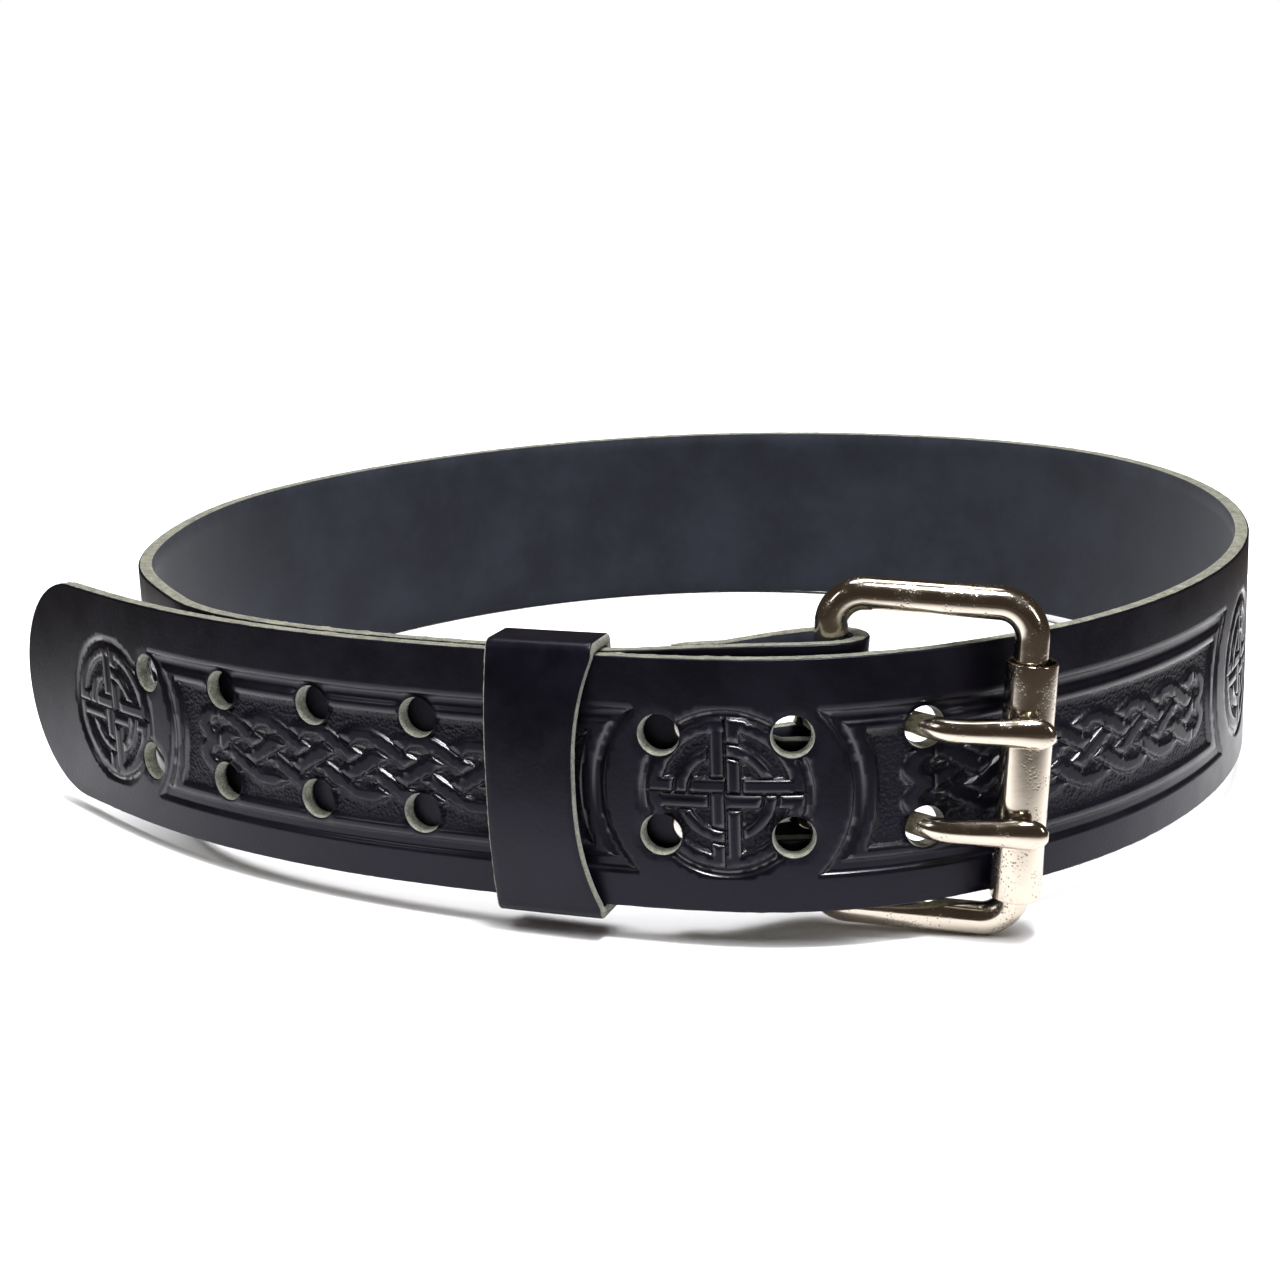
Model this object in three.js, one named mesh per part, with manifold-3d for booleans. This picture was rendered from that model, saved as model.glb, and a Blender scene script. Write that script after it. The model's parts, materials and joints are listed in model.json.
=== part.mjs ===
// Kilt belt, buckled into a ring and standing on its edge.
// One long leather strap, a leather keeper, and a double-prong roller buckle with two rivets.
// Millimetres, +Z up. The buckle faces -Y and the free end points to -X.
import * as THREE from 'three';
import { mergeVertices } from 'three/addons/utils/BufferGeometryUtils.js';
import Module from 'manifold-3d';

const wasm = await Module();
wasm.setup();

// Driving sizes of the strap
const STRAP_WIDTH = 57;
const STRAP_THICKNESS = 3.6;
const RING_WIDTH = 306;
const RING_DEPTH = 327;
const TIP_LENGTH = 27.5;
const TIP_BLUNT_ANGLE = 10;
const TIP_STEP_ANGLE = 10;
const STATION_STEP = 8;

// Punched holes, counted from the tip
const HOLE_PLAY = 2.05;
const HOLE_PITCH = 28.9;
const HOLE_PAIRS = 8;
const HOLE_IN_USE = 8;
const FIRST_HOLE = 64.5;
const HOLE_ROW_SPACING = 22.6;
const HOLE_SIDES = 14;

// Overlap of the buckle end behind the tongue
const CLEARANCE = 0.3;
const OVERLAP_START = 120;
const GAP_OPENS_OVER = 20;
const RETURN_LENGTH = 38;
const RETURN_BEVEL = 4;
const RETURN_END_THICKNESS = 0.9;
const FOLD_STEP_ANGLE = 15;
const FOLD_CLEARANCE = 1.3;

// Buckle
const WIRE_DIAMETER = 7.5;
const WIRE_SIDES = 12;
const FRAME_HEADROOM = 3.6;
const FRAME_CORNER_RADIUS = 7.2;
const FRAME_CORNER_STEP_ANGLE = 18;
const FRAME_RISE = 4.2;
const FRAME_LEAN = 3.7;
const BUCKLE_END_LIFT = 1.7;
const HEEL_TO_HOLE = 19.9;
const HEEL_TO_ROLLER = 39.2;
const ROLLER_PLAY = 1.1;
const ROLLER_WALL = 0.8;
const ROLLER_END_ROOM = 5.3;
const ROLLER_DROP = 3.1;
const ROLLER_SHIFT = 0.4;
const ROLLER_SIDES = 20;
const ROLLER_GAP = 1.4;

// Prongs
const PRONG_DIAMETER = 5.5;
const PRONG_EYE_WALL = 3.6;
const PRONG_EYE_HEIGHT = 5.2;
const PRONG_PAST_ROLLER = 6.6;
const PRONG_RISE = 1.4;
const PRONG_CROSSING_ANGLE = 57;
const PRONG_CROSSING_REACH = 5.5;
const PRONG_SIDES = 10;
const SLOT_SIDE_PLAY = 1.2;
const SLOT_END_PLAY = 6.5;
const SLOT_END_SEGMENTS = 6;

// Rivets that close the fold
const RIVET_FROM_HEEL = 31.4;
const RIVET_HEAD_DIAMETER = 9;
const RIVET_HEAD_HEIGHT = 0.8;
const RIVET_HEAD_FLAT = 6.6;
const RIVET_SHANK_DIAMETER = 3.4;
const RIVET_SIDES = 16;
const RIVET_SEAT = 0.4;
const RIVET_HEADROOM = 0.6;

// Keeper
const KEEPER_START = 170.8;
const KEEPER_WIDTH = 21.2;
const KEEPER_THICKNESS = 2.6;
const KEEPER_BULGE = 3;
const KEEPER_BULGE_POWER = 2.5;
const KEEPER_HEADROOM = 0.5;
const KEEPER_STATIONS = 4;
const KEEPER_SIDE_STEPS = 8;
const KEEPER_CORNER_STEP_ANGLE = 45;

// Control points of the strap's centre line, seen from above, from the tip round to the overlap.
// Shares of half the ring's width and depth.
const RING_ROWS = [
  { across: -1.190, deep: -0.232 },
  { across: -1.095, deep: -0.335 },
  { across: -0.875, deep: -0.585 },
  { across: -0.570, deep: -0.790 },
  { across: -0.230, deep: -0.925 },
  { across: 0.090, deep: -1.025 },
  { across: 0.360, deep: -0.965 },
  { across: 0.640, deep: -0.800 },
  { across: 0.885, deep: -0.487 },
  { across: 1.005, deep: -0.118 },
  { across: 1.010, deep: 0.275 },
  { across: 0.860, deep: 0.670 },
  { across: 0.495, deep: 0.925 },
  { across: 0.075, deep: 1.035 },
  { across: -0.350, deep: 0.948 },
  { across: -0.703, deep: 0.713 },
  { across: -0.954, deep: 0.385 },
  { across: -1.009, deep: 0.010 },
  { across: -0.990, deep: -0.260 },
  { across: -0.866, deep: -0.492 },
];

// Prong sections from the eye to the tip. Height and depth are shares of the prong's diameter.
const PRONG_ROWS = [
  { along: 0.00, height: 0.95, depth: 0.80 },
  { along: 0.12, height: 0.95, depth: 0.84 },
  { along: 0.24, height: 0.95, depth: 0.86 },
  { along: 0.36, height: 0.97, depth: 0.86 },
  { along: 0.48, height: 1.00, depth: 0.92 },
  { along: 0.62, height: 1.03, depth: 1.00 },
  { along: 0.76, height: 1.12, depth: 1.00 },
  { along: 0.87, height: 1.25, depth: 0.92 },
  { along: 0.94, height: 1.05, depth: 0.70 },
  { along: 1.00, height: 0.25, depth: 0.25 },
];

// Finishes, and the fineness of curves and welded points
const BLACK_LEATHER = { color: 0x1b1b22, roughness: 0.45, metalness: 0 };
const WORN_NICKEL = { color: 0xb8b2a8, roughness: 0.3, metalness: 1 };
const CURVE_DIVISIONS = 1200;
const WELD_DISTANCE = 0.0001;

const UP = new THREE.Vector3(0, 0, 1);
const ALONG_LATHE = new THREE.Vector3(0, 1, 0);

// Derived sizes
const halfThickness = STRAP_THICKNESS / 2;
const halfWire = WIRE_DIAMETER / 2;
const rivetLayerGap = RIVET_SEAT + RIVET_HEAD_HEIGHT + RIVET_HEADROOM;
const holeDiameter = PRONG_DIAMETER + 2 * HOLE_PLAY;
const frameHeight = STRAP_WIDTH + 2 * (FRAME_HEADROOM + WIRE_DIAMETER);
const rollerBore = halfWire + ROLLER_PLAY;
const rollerRadius = rollerBore + ROLLER_WALL;
const rollerLength = frameHeight - 2 * (WIRE_DIAMETER + ROLLER_END_ROOM);
const eyeBore = halfWire + CLEARANCE;
const eyeRadius = eyeBore + PRONG_EYE_WALL;
const slotHeight = PRONG_EYE_HEIGHT + 2 * SLOT_SIDE_PLAY;
const slotReach = eyeRadius + SLOT_END_PLAY;
const lean = THREE.MathUtils.degToRad(FRAME_LEAN);
const foldRadius = halfWire + FOLD_CLEARANCE + halfThickness;
const holeInUseStation = FIRST_HOLE + HOLE_PITCH * (HOLE_IN_USE - 1);
const heelStation = holeInUseStation - HEEL_TO_HOLE;
const rivetStation = heelStation - RIVET_FROM_HEEL;
const keeperEnd = KEEPER_START + KEEPER_WIDTH;
const heelPivotHeight = STRAP_WIDTH / 2 + FRAME_RISE;
const holeRows = [STRAP_WIDTH / 2 - HOLE_ROW_SPACING / 2, STRAP_WIDTH / 2 + HOLE_ROW_SPACING / 2];

// A smooth open curve led by control points: a uniform cubic B-spline
class BendCurve extends THREE.Curve {
  constructor(points) {
    super();
    const last = points.length - 1;
    const before = points[0].clone().multiplyScalar(2).sub(points[1]);
    const after = points[last].clone().multiplyScalar(2).sub(points[last - 1]);
    this.points = [before, ...points, after];
    this.arcLengthDivisions = CURVE_DIVISIONS;
  }

  getPoint(share, target = new THREE.Vector3()) {
    const spans = this.points.length - 3;
    const span = Math.min(Math.floor(share * spans), spans - 1);
    const t = share * spans - span;
    const weights = [
      (1 - t) ** 3,
      3 * t ** 3 - 6 * t ** 2 + 4,
      -3 * t ** 3 + 3 * t ** 2 + 3 * t + 1,
      t ** 3,
    ];
    target.set(0, 0, 0);
    weights.forEach((weight, i) => target.addScaledVector(this.points[span + i], weight / 6));
    return target;
  }
}

function ringCurve() {
  const halfWidth = (RING_WIDTH - STRAP_THICKNESS) / 2;
  const halfDepth = (RING_DEPTH - STRAP_THICKNESS) / 2;
  return new BendCurve(
    RING_ROWS.map((row) => new THREE.Vector3(row.across * halfWidth, row.deep * halfDepth, 0)),
  );
}

const tongue = ringCurve();
const tongueLength = tongue.getLength();

// A place on the strap's first turn: its centre, its heading and the way out of the ring
function placeOnTongue(station, inward = 0) {
  const share = station / tongueLength;
  const heading = tongue.getTangentAt(share);
  const outward = new THREE.Vector3(heading.y, -heading.x, 0);
  const centre = tongue.getPointAt(share).addScaledVector(outward, -inward);
  return { centre, heading, outward, station };
}

// Distance from the tongue's centre line to that of the layer behind it
function layerOffset(station) {
  const opening = THREE.MathUtils.smoothstep(station, keeperEnd, keeperEnd + GAP_OPENS_OVER);
  return STRAP_THICKNESS + CLEARANCE + (rivetLayerGap - CLEARANCE) * opening;
}

const heel = placeOnTongue(heelStation, layerOffset(heelStation) + foldRadius);
const roller = placeOnTongue(heelStation + HEEL_TO_ROLLER, -(halfThickness + ROLLER_GAP + rollerRadius));
const frameHeading = roller.centre.clone().sub(heel.centre).normalize();
const barSpacing = roller.centre.distanceTo(heel.centre);

// The buckle end leans and lifts with the buckle, and lies square where the keeper holds it
function settle(point, station) {
  const share = THREE.MathUtils.smoothstep(station, keeperEnd, heelStation - foldRadius * 2);
  const shift = (point.z - heelPivotHeight) * Math.tan(lean) * share;
  point.addScaledVector(frameHeading, shift);
  point.z += BUCKLE_END_LIFT * share;
  return point;
}

// A closed solid through rings of points, capped at both ends or joined into a loop
function loft(rings, looped = false) {
  const count = rings[0].length;
  const positions = rings.flat().flatMap((point) => [point.x, point.y, point.z]);
  const triangles = [];
  const turns = looped ? rings.length : rings.length - 1;
  for (let i = 0; i < turns; i += 1) {
    const next = (i + 1) % rings.length;
    for (let j = 0; j < count; j += 1) {
      const k = (j + 1) % count;
      triangles.push(i * count + j, i * count + k, next * count + k);
      triangles.push(i * count + j, next * count + k, next * count + j);
    }
  }
  if (!looped) {
    const last = (rings.length - 1) * count;
    for (let j = 1; j < count - 1; j += 1) {
      triangles.push(0, j + 1, j);
      triangles.push(last, last + j, last + j + 1);
    }
  }
  const geometry = new THREE.BufferGeometry();
  geometry.setAttribute('position', new THREE.Float32BufferAttribute(positions, 3));
  geometry.setIndex(triangles);
  return geometry;
}

function toSolid(geometry) {
  const bare = geometry.clone();
  bare.deleteAttribute('normal');
  bare.deleteAttribute('uv');
  const merged = mergeVertices(bare, WELD_DISTANCE);
  return new wasm.Manifold(new wasm.Mesh({
    numProp: 3,
    vertProperties: new Float32Array(merged.attributes.position.array),
    triVerts: new Uint32Array(merged.index.array),
  }));
}

function toGeometry(solid) {
  const mesh = solid.getMesh();
  const geometry = new THREE.BufferGeometry();
  geometry.setAttribute('position', new THREE.Float32BufferAttribute(mesh.vertProperties, 3));
  geometry.setIndex(new THREE.Uint32BufferAttribute(mesh.triVerts, 1));
  return geometry;
}

// A round bar from one point along a direction
function barBetween(from, direction, length, radius, sides) {
  const geometry = new THREE.CylinderGeometry(radius, radius, length, sides);
  geometry.translate(0, length / 2, 0);
  geometry.applyQuaternion(new THREE.Quaternion().setFromUnitVectors(ALONG_LATHE, direction));
  geometry.translate(from.x, from.y, from.z);
  return geometry;
}

// One ring of the strap: flesh side and grain side, bottom and top
function strapRing(place, low = 0, high = STRAP_WIDTH, half = halfThickness) {
  const corner = (side, z) => {
    const point = place.centre.clone().addScaledVector(place.outward, side * half);
    point.z = z;
    return place.settles ? settle(point, place.station) : point;
  };
  return [corner(-1, low), corner(-1, high), corner(1, high), corner(1, low)];
}

function steps(from, to, step) {
  const count = Math.max(1, Math.round(Math.abs(to - from) / step));
  return Array.from({ length: count + 1 }, (_, i) => from + ((to - from) * i) / count);
}

// The rounded free end
function tipRings() {
  const half = STRAP_WIDTH / 2;
  return steps(TIP_BLUNT_ANGLE, 90, TIP_STEP_ANGLE).map((angle) => {
    const radians = THREE.MathUtils.degToRad(angle);
    const place = placeOnTongue(TIP_LENGTH * (1 - Math.cos(radians)));
    return strapRing(place, half - half * Math.sin(radians), half + half * Math.sin(radians));
  });
}

// The plain stretch from the tip's full width to past the last hole, then the rest of the ring
const ringSplit = heelStation + HEEL_TO_ROLLER * 2;

function frontRings() {
  const stations = steps(TIP_LENGTH, ringSplit, STATION_STEP).slice(1);
  return [...tipRings(), ...stations.map((station) => strapRing(placeOnTongue(station)))];
}

// The bend that brings the strap's end behind the tongue
function joinRings() {
  const from = placeOnTongue(tongueLength);
  const to = placeOnTongue(OVERLAP_START, layerOffset(OVERLAP_START));
  const handle = from.centre.distanceTo(to.centre) / 3;
  const bend = new THREE.CubicBezierCurve3(
    from.centre,
    from.centre.clone().addScaledVector(from.heading, handle),
    to.centre.clone().addScaledVector(to.heading, -handle),
    to.centre,
  );
  return steps(0, 1, STATION_STEP / bend.getLength()).slice(1, -1).map((share) => {
    const heading = bend.getTangentAt(share);
    const outward = new THREE.Vector3(heading.y, -heading.x, 0);
    return strapRing({ centre: bend.getPointAt(share), outward });
  });
}

function laneRings() {
  return steps(OVERLAP_START, heelStation, STATION_STEP).map((station) => {
    const place = placeOnTongue(station, layerOffset(station));
    return strapRing({ ...place, settles: true });
  });
}

// The turn round the heel bar
function foldRings() {
  return steps(0, 180, FOLD_STEP_ANGLE).slice(1, -1).map((angle) => {
    const outward = heel.outward.clone().applyAxisAngle(UP, THREE.MathUtils.degToRad(angle));
    const centre = heel.centre.clone().addScaledVector(outward, foldRadius);
    return strapRing({ centre, outward, station: heelStation, settles: true });
  });
}

// Gap between the two layers of the fold: closed at the rivets, and as wide as the wire at the bar
function returnGap(station) {
  const closed = rivetStation + RIVET_HEAD_DIAMETER / 2 + CLEARANCE;
  const share = THREE.MathUtils.clamp((station - closed) / (heelStation - closed), 0, 1);
  const wide = WIRE_DIAMETER + 2 * FOLD_CLEARANCE;
  return CLEARANCE + (wide - CLEARANCE) * Math.sin((share * Math.PI) / 2);
}

// The end that comes back inside the ring and is riveted, with a bevelled cut
function returnRings() {
  const end = heelStation - RETURN_LENGTH;
  const stations = [...steps(heelStation, end + RETURN_BEVEL, STATION_STEP / 2), end];
  return stations.map((station) => {
    const thickness = station === end ? RETURN_END_THICKNESS : STRAP_THICKNESS;
    const inward = layerOffset(station) + halfThickness + returnGap(station) + thickness / 2;
    const place = placeOnTongue(station, inward);
    place.outward.negate();
    return strapRing({ ...place, settles: true }, 0, STRAP_WIDTH, thickness / 2);
  });
}

function backRings() {
  const stations = steps(ringSplit, tongueLength, STATION_STEP);
  return [
    ...stations.map((station) => strapRing(placeOnTongue(station))),
    ...joinRings(),
    ...laneRings(),
    ...foldRings(),
    ...returnRings(),
  ];
}

function holeCutters() {
  const reach = STRAP_THICKNESS * 2;
  const cutters = [];
  for (let pair = 0; pair < HOLE_PAIRS; pair += 1) {
    const place = placeOnTongue(FIRST_HOLE + HOLE_PITCH * pair, reach / 2);
    holeRows.forEach((height) => {
      const from = place.centre.clone().setZ(height);
      cutters.push(barBetween(from, place.outward, reach, holeDiameter / 2, HOLE_SIDES));
    });
  }
  return cutters;
}

// Local frame of the buckle: X from heel bar to roller, -Y out of the ring, Z along the bars
const frameMatrix = new THREE.Matrix4()
  .makeTranslation(heel.centre.x, heel.centre.y, heelPivotHeight)
  .multiply(new THREE.Matrix4().makeRotationZ(Math.atan2(frameHeading.y, frameHeading.x)))
  .multiply(new THREE.Matrix4().makeRotationY(lean));
const toFrame = frameMatrix.clone().invert();

const prongHeights = holeRows.map((height) => {
  const onTongue = placeOnTongue(holeInUseStation).centre.setZ(height);
  return onTongue.applyMatrix4(toFrame).z;
});

// Slots in the fold that let the prongs swing
function slotCutters() {
  const half = slotHeight / 2;
  const outline = new THREE.Shape();
  outline.moveTo(foldRadius * 2, -half);
  outline.lineTo(foldRadius * 2, half);
  outline.lineTo(half - slotReach, half);
  outline.absarc(half - slotReach, 0, half, Math.PI / 2, Math.PI * 1.5, false);
  const inward = foldRadius + STRAP_THICKNESS;
  const depth = inward + foldRadius + halfThickness + rivetLayerGap / 2;
  const extrusion = { depth, bevelEnabled: false, curveSegments: SLOT_END_SEGMENTS };
  return prongHeights.map((height) => {
    const slot = new THREE.ExtrudeGeometry(outline, extrusion);
    slot.rotateX(Math.PI / 2);
    slot.translate(0, inward, height);
    return slot.applyMatrix4(frameMatrix);
  });
}

// Where a rivet stands: on the layer behind the tongue, pointing out of the ring
function rivetPlace(height) {
  const place = placeOnTongue(rivetStation, layerOffset(rivetStation));
  const centre = settle(place.centre.clone().setZ(height), rivetStation);
  return { centre, outward: place.outward };
}

function rivetHoleCutters() {
  const radius = RIVET_SHANK_DIAMETER / 2 + CLEARANCE;
  const inward = STRAP_THICKNESS * 3;
  return holeRows.map((height) => {
    const { centre, outward } = rivetPlace(height);
    const from = centre.addScaledVector(outward, -inward);
    return barBetween(from, outward, inward + STRAP_THICKNESS, radius, RIVET_SIDES);
  });
}

function cut(geometry, cutters) {
  return cutters.reduce((solid, cutter) => solid.subtract(toSolid(cutter)), toSolid(geometry));
}

function strapGeometry() {
  const front = cut(loft(frontRings()), holeCutters());
  const back = cut(loft(backRings()), [...slotCutters(), ...rivetHoleCutters()]);
  return toGeometry(front.add(back));
}

// The keeper's opening, from top to bottom in front of the tongue, where it bulges, and back up behind.
// Each point holds the directions, in degrees, in which the keeper's leather lies outside it.
function keeperOpening(station) {
  const front = -(halfThickness + CLEARANCE);
  const back = layerOffset(station) + halfThickness + CLEARANCE;
  const top = STRAP_WIDTH + KEEPER_HEADROOM;
  const bottom = -KEEPER_HEADROOM;
  const corner = (from) => steps(from, from + 90, KEEPER_CORNER_STEP_ANGLE);
  const frontSide = steps(0, 1, 1 / KEEPER_SIDE_STEPS).map((share) => {
    const bulge = KEEPER_BULGE * (1 - Math.abs(2 * share - 1) ** KEEPER_BULGE_POWER);
    return { inward: front - bulge, height: top + (bottom - top) * share, sides: [180] };
  });
  frontSide[0].sides = corner(90);
  frontSide[frontSide.length - 1].sides = corner(180);
  return [
    ...frontSide,
    { inward: back, height: bottom, sides: corner(270) },
    { inward: back, height: top, sides: corner(0) },
  ];
}

function keeperRing(station, outline) {
  const place = placeOnTongue(station);
  return outline.map(({ inward, height }) => {
    const spot = place.centre.clone().addScaledVector(place.outward, -inward);
    return spot.setZ(height);
  });
}

function keeperInside(station) {
  return keeperRing(station, keeperOpening(station));
}

function keeperOutside(station) {
  const outline = keeperOpening(station).flatMap((point) => point.sides.map((side) => {
    const angle = THREE.MathUtils.degToRad(side);
    return {
      inward: point.inward + Math.cos(angle) * KEEPER_THICKNESS,
      height: point.height + Math.sin(angle) * KEEPER_THICKNESS,
    };
  }));
  return keeperRing(station, outline);
}

function keeperGeometry() {
  const stations = steps(KEEPER_START, keeperEnd, KEEPER_WIDTH / KEEPER_STATIONS);
  const longer = [KEEPER_START - CLEARANCE, ...stations, keeperEnd + CLEARANCE];
  const outer = loft(stations.map(keeperOutside));
  const inner = loft(longer.map(keeperInside));
  return toGeometry(toSolid(outer).subtract(toSolid(inner)));
}

// Sections of the frame's wire along a rounded rectangle
function frameRings() {
  const halfHeight = (frameHeight - WIRE_DIAMETER) / 2;
  const r = FRAME_CORNER_RADIUS;
  const corners = [
    { x: barSpacing - r, z: halfHeight - r, from: 0 },
    { x: r, z: halfHeight - r, from: 90 },
    { x: r, z: r - halfHeight, from: 180 },
    { x: barSpacing - r, z: r - halfHeight, from: 270 },
  ];
  return corners.flatMap((corner) => {
    const angles = steps(corner.from, corner.from + 90, FRAME_CORNER_STEP_ANGLE);
    return angles.map((angle) => {
      const radians = THREE.MathUtils.degToRad(angle);
      const out = new THREE.Vector3(Math.cos(radians), 0, Math.sin(radians));
      return wireRing(new THREE.Vector3(corner.x, 0, corner.z).addScaledVector(out, r), out);
    });
  });
}

// A round section of the wire, in the plane of one direction and the buckle's depth
function wireRing(centre, across) {
  return Array.from({ length: WIRE_SIDES }, (_, i) => {
    const angle = (2 * Math.PI * i) / WIRE_SIDES;
    const point = centre.clone().addScaledVector(across, Math.cos(angle) * halfWire);
    point.y += Math.sin(angle) * halfWire;
    return point;
  });
}

// A tube closed at both ends by its own wall, standing along Z
function tubeGeometry(innerRadius, outerRadius, length, sides) {
  const profile = [
    new THREE.Vector2(innerRadius, -length / 2),
    new THREE.Vector2(outerRadius, -length / 2),
    new THREE.Vector2(outerRadius, length / 2),
    new THREE.Vector2(innerRadius, length / 2),
    new THREE.Vector2(innerRadius, -length / 2),
  ];
  return new THREE.LatheGeometry(profile, sides).rotateX(Math.PI / 2);
}

function rollerGeometry() {
  return tubeGeometry(rollerBore, rollerRadius, rollerLength, ROLLER_SIDES);
}

// The prong leaves its eye, crosses the tongue's hole and rests on the roller
function prongPath() {
  const hole = placeOnTongue(holeInUseStation);
  const centre = hole.centre.clone().setZ(STRAP_WIDTH / 2).applyMatrix4(toFrame).setZ(0);
  const crossing = hole.heading.clone().transformDirection(toFrame).setZ(0).normalize();
  crossing.applyAxisAngle(UP, -THREE.MathUtils.degToRad(PRONG_CROSSING_ANGLE));
  const eyeMiddle = (eyeBore + eyeRadius) / 2;
  const rest = -(rollerRadius + CLEARANCE + PRONG_DIAMETER / 2);
  return new THREE.CatmullRomCurve3([
    new THREE.Vector3(eyeMiddle, 0, 0),
    centre.clone().addScaledVector(crossing, -PRONG_CROSSING_REACH),
    centre,
    centre.clone().addScaledVector(crossing, PRONG_CROSSING_REACH),
    new THREE.Vector3(barSpacing, rest, PRONG_RISE),
    new THREE.Vector3(barSpacing + PRONG_PAST_ROLLER, rest, PRONG_RISE),
  ], false, 'centripetal');
}

function prongSection(path, row) {
  const centre = path.getPointAt(row.along);
  const heading = path.getTangentAt(row.along);
  const side = new THREE.Vector3(-heading.y, heading.x, 0);
  return Array.from({ length: PRONG_SIDES }, (_, i) => {
    const angle = (2 * Math.PI * i) / PRONG_SIDES;
    const point = centre.clone();
    point.addScaledVector(side, (Math.cos(angle) * row.depth * PRONG_DIAMETER) / 2);
    point.z += (Math.sin(angle) * row.height * PRONG_DIAMETER) / 2;
    return point;
  });
}

function prongGeometry() {
  const path = prongPath();
  const shank = loft(PRONG_ROWS.map((row) => prongSection(path, row)));
  const eye = tubeGeometry(eyeBore, eyeRadius, PRONG_EYE_HEIGHT, ROLLER_SIDES);
  return toGeometry(toSolid(shank).add(toSolid(eye)));
}

// Front head, shank and back head turned as one profile
function rivetGeometry() {
  const head = RIVET_HEAD_DIAMETER / 2;
  const flat = RIVET_HEAD_FLAT / 2;
  const shank = RIVET_SHANK_DIAMETER / 2;
  const front = halfThickness + RIVET_SEAT;
  const back = -(halfThickness + returnGap(rivetStation) + STRAP_THICKNESS + RIVET_SEAT);
  const profile = [
    new THREE.Vector2(0, back - RIVET_HEAD_HEIGHT),
    new THREE.Vector2(flat, back - RIVET_HEAD_HEIGHT),
    new THREE.Vector2(head, back),
    new THREE.Vector2(shank, back),
    new THREE.Vector2(shank, front),
    new THREE.Vector2(head, front),
    new THREE.Vector2(flat, front + RIVET_HEAD_HEIGHT),
    new THREE.Vector2(0, front + RIVET_HEAD_HEIGHT),
  ];
  return new THREE.LatheGeometry(profile, RIVET_SIDES);
}

function namedMesh(name, geometry, finish) {
  const mesh = new THREE.Mesh(geometry, new THREE.MeshStandardMaterial(finish));
  mesh.name = name;
  return mesh;
}

function rivetMesh(name, height) {
  const { centre, outward } = rivetPlace(height);
  const mesh = namedMesh(name, rivetGeometry(), WORN_NICKEL);
  mesh.quaternion.setFromUnitVectors(ALONG_LATHE, outward);
  mesh.position.copy(centre);
  return mesh;
}

// The buckle's own group holds the frame, the roller and both prongs
function buckleGroup() {
  const group = new THREE.Group();
  frameMatrix.decompose(group.position, group.quaternion, group.scale);
  const rollerMesh = namedMesh('roller', rollerGeometry(), WORN_NICKEL);
  rollerMesh.position.set(barSpacing + ROLLER_SHIFT, 0, -ROLLER_DROP);
  group.add(namedMesh('buckle_frame', loft(frameRings(), true), WORN_NICKEL), rollerMesh);
  ['prong_lower', 'prong_upper'].forEach((name, i) => {
    const prong = namedMesh(name, prongGeometry(), WORN_NICKEL);
    prong.position.z = prongHeights[i];
    group.add(prong);
  });
  return group;
}

// The belt stands on the buckle's lower corner and on the strap's edge opposite
function restTilt() {
  const low = new THREE.Vector3(barSpacing - FRAME_CORNER_RADIUS, 0, -frameHeight / 2);
  low.applyMatrix4(frameMatrix);
  const away = new THREE.Vector3(-low.x, -low.y, 0).normalize();
  const reach = Math.max(...steps(heelStation, tongueLength, STATION_STEP).map((station) => {
    const edge = placeOnTongue(station, -halfThickness).centre;
    return edge.sub(low).dot(away);
  }));
  const axis = new THREE.Vector3(-away.y, away.x, 0);
  return new THREE.Quaternion().setFromAxisAngle(axis, Math.atan2(-low.z, reach));
}

const belt = new THREE.Group();
belt.add(namedMesh('strap', strapGeometry(), BLACK_LEATHER));
belt.add(namedMesh('keeper', keeperGeometry(), BLACK_LEATHER));
belt.add(rivetMesh('rivet_lower', holeRows[0]), rivetMesh('rivet_upper', holeRows[1]));
belt.add(buckleGroup());
belt.quaternion.copy(restTilt());
belt.updateMatrixWorld(true);
const box = new THREE.Box3().setFromObject(belt, true);
const middle = box.getCenter(new THREE.Vector3());
belt.position.set(-middle.x, -middle.y, -box.min.z);

const model = new THREE.Group();
model.add(belt);
export default model;
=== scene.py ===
"""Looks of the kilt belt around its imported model. Metres, +Z up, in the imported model's own frame."""
import json
import math

import bpy
import numpy as np
from mathutils import Matrix, Vector, geometry

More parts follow.
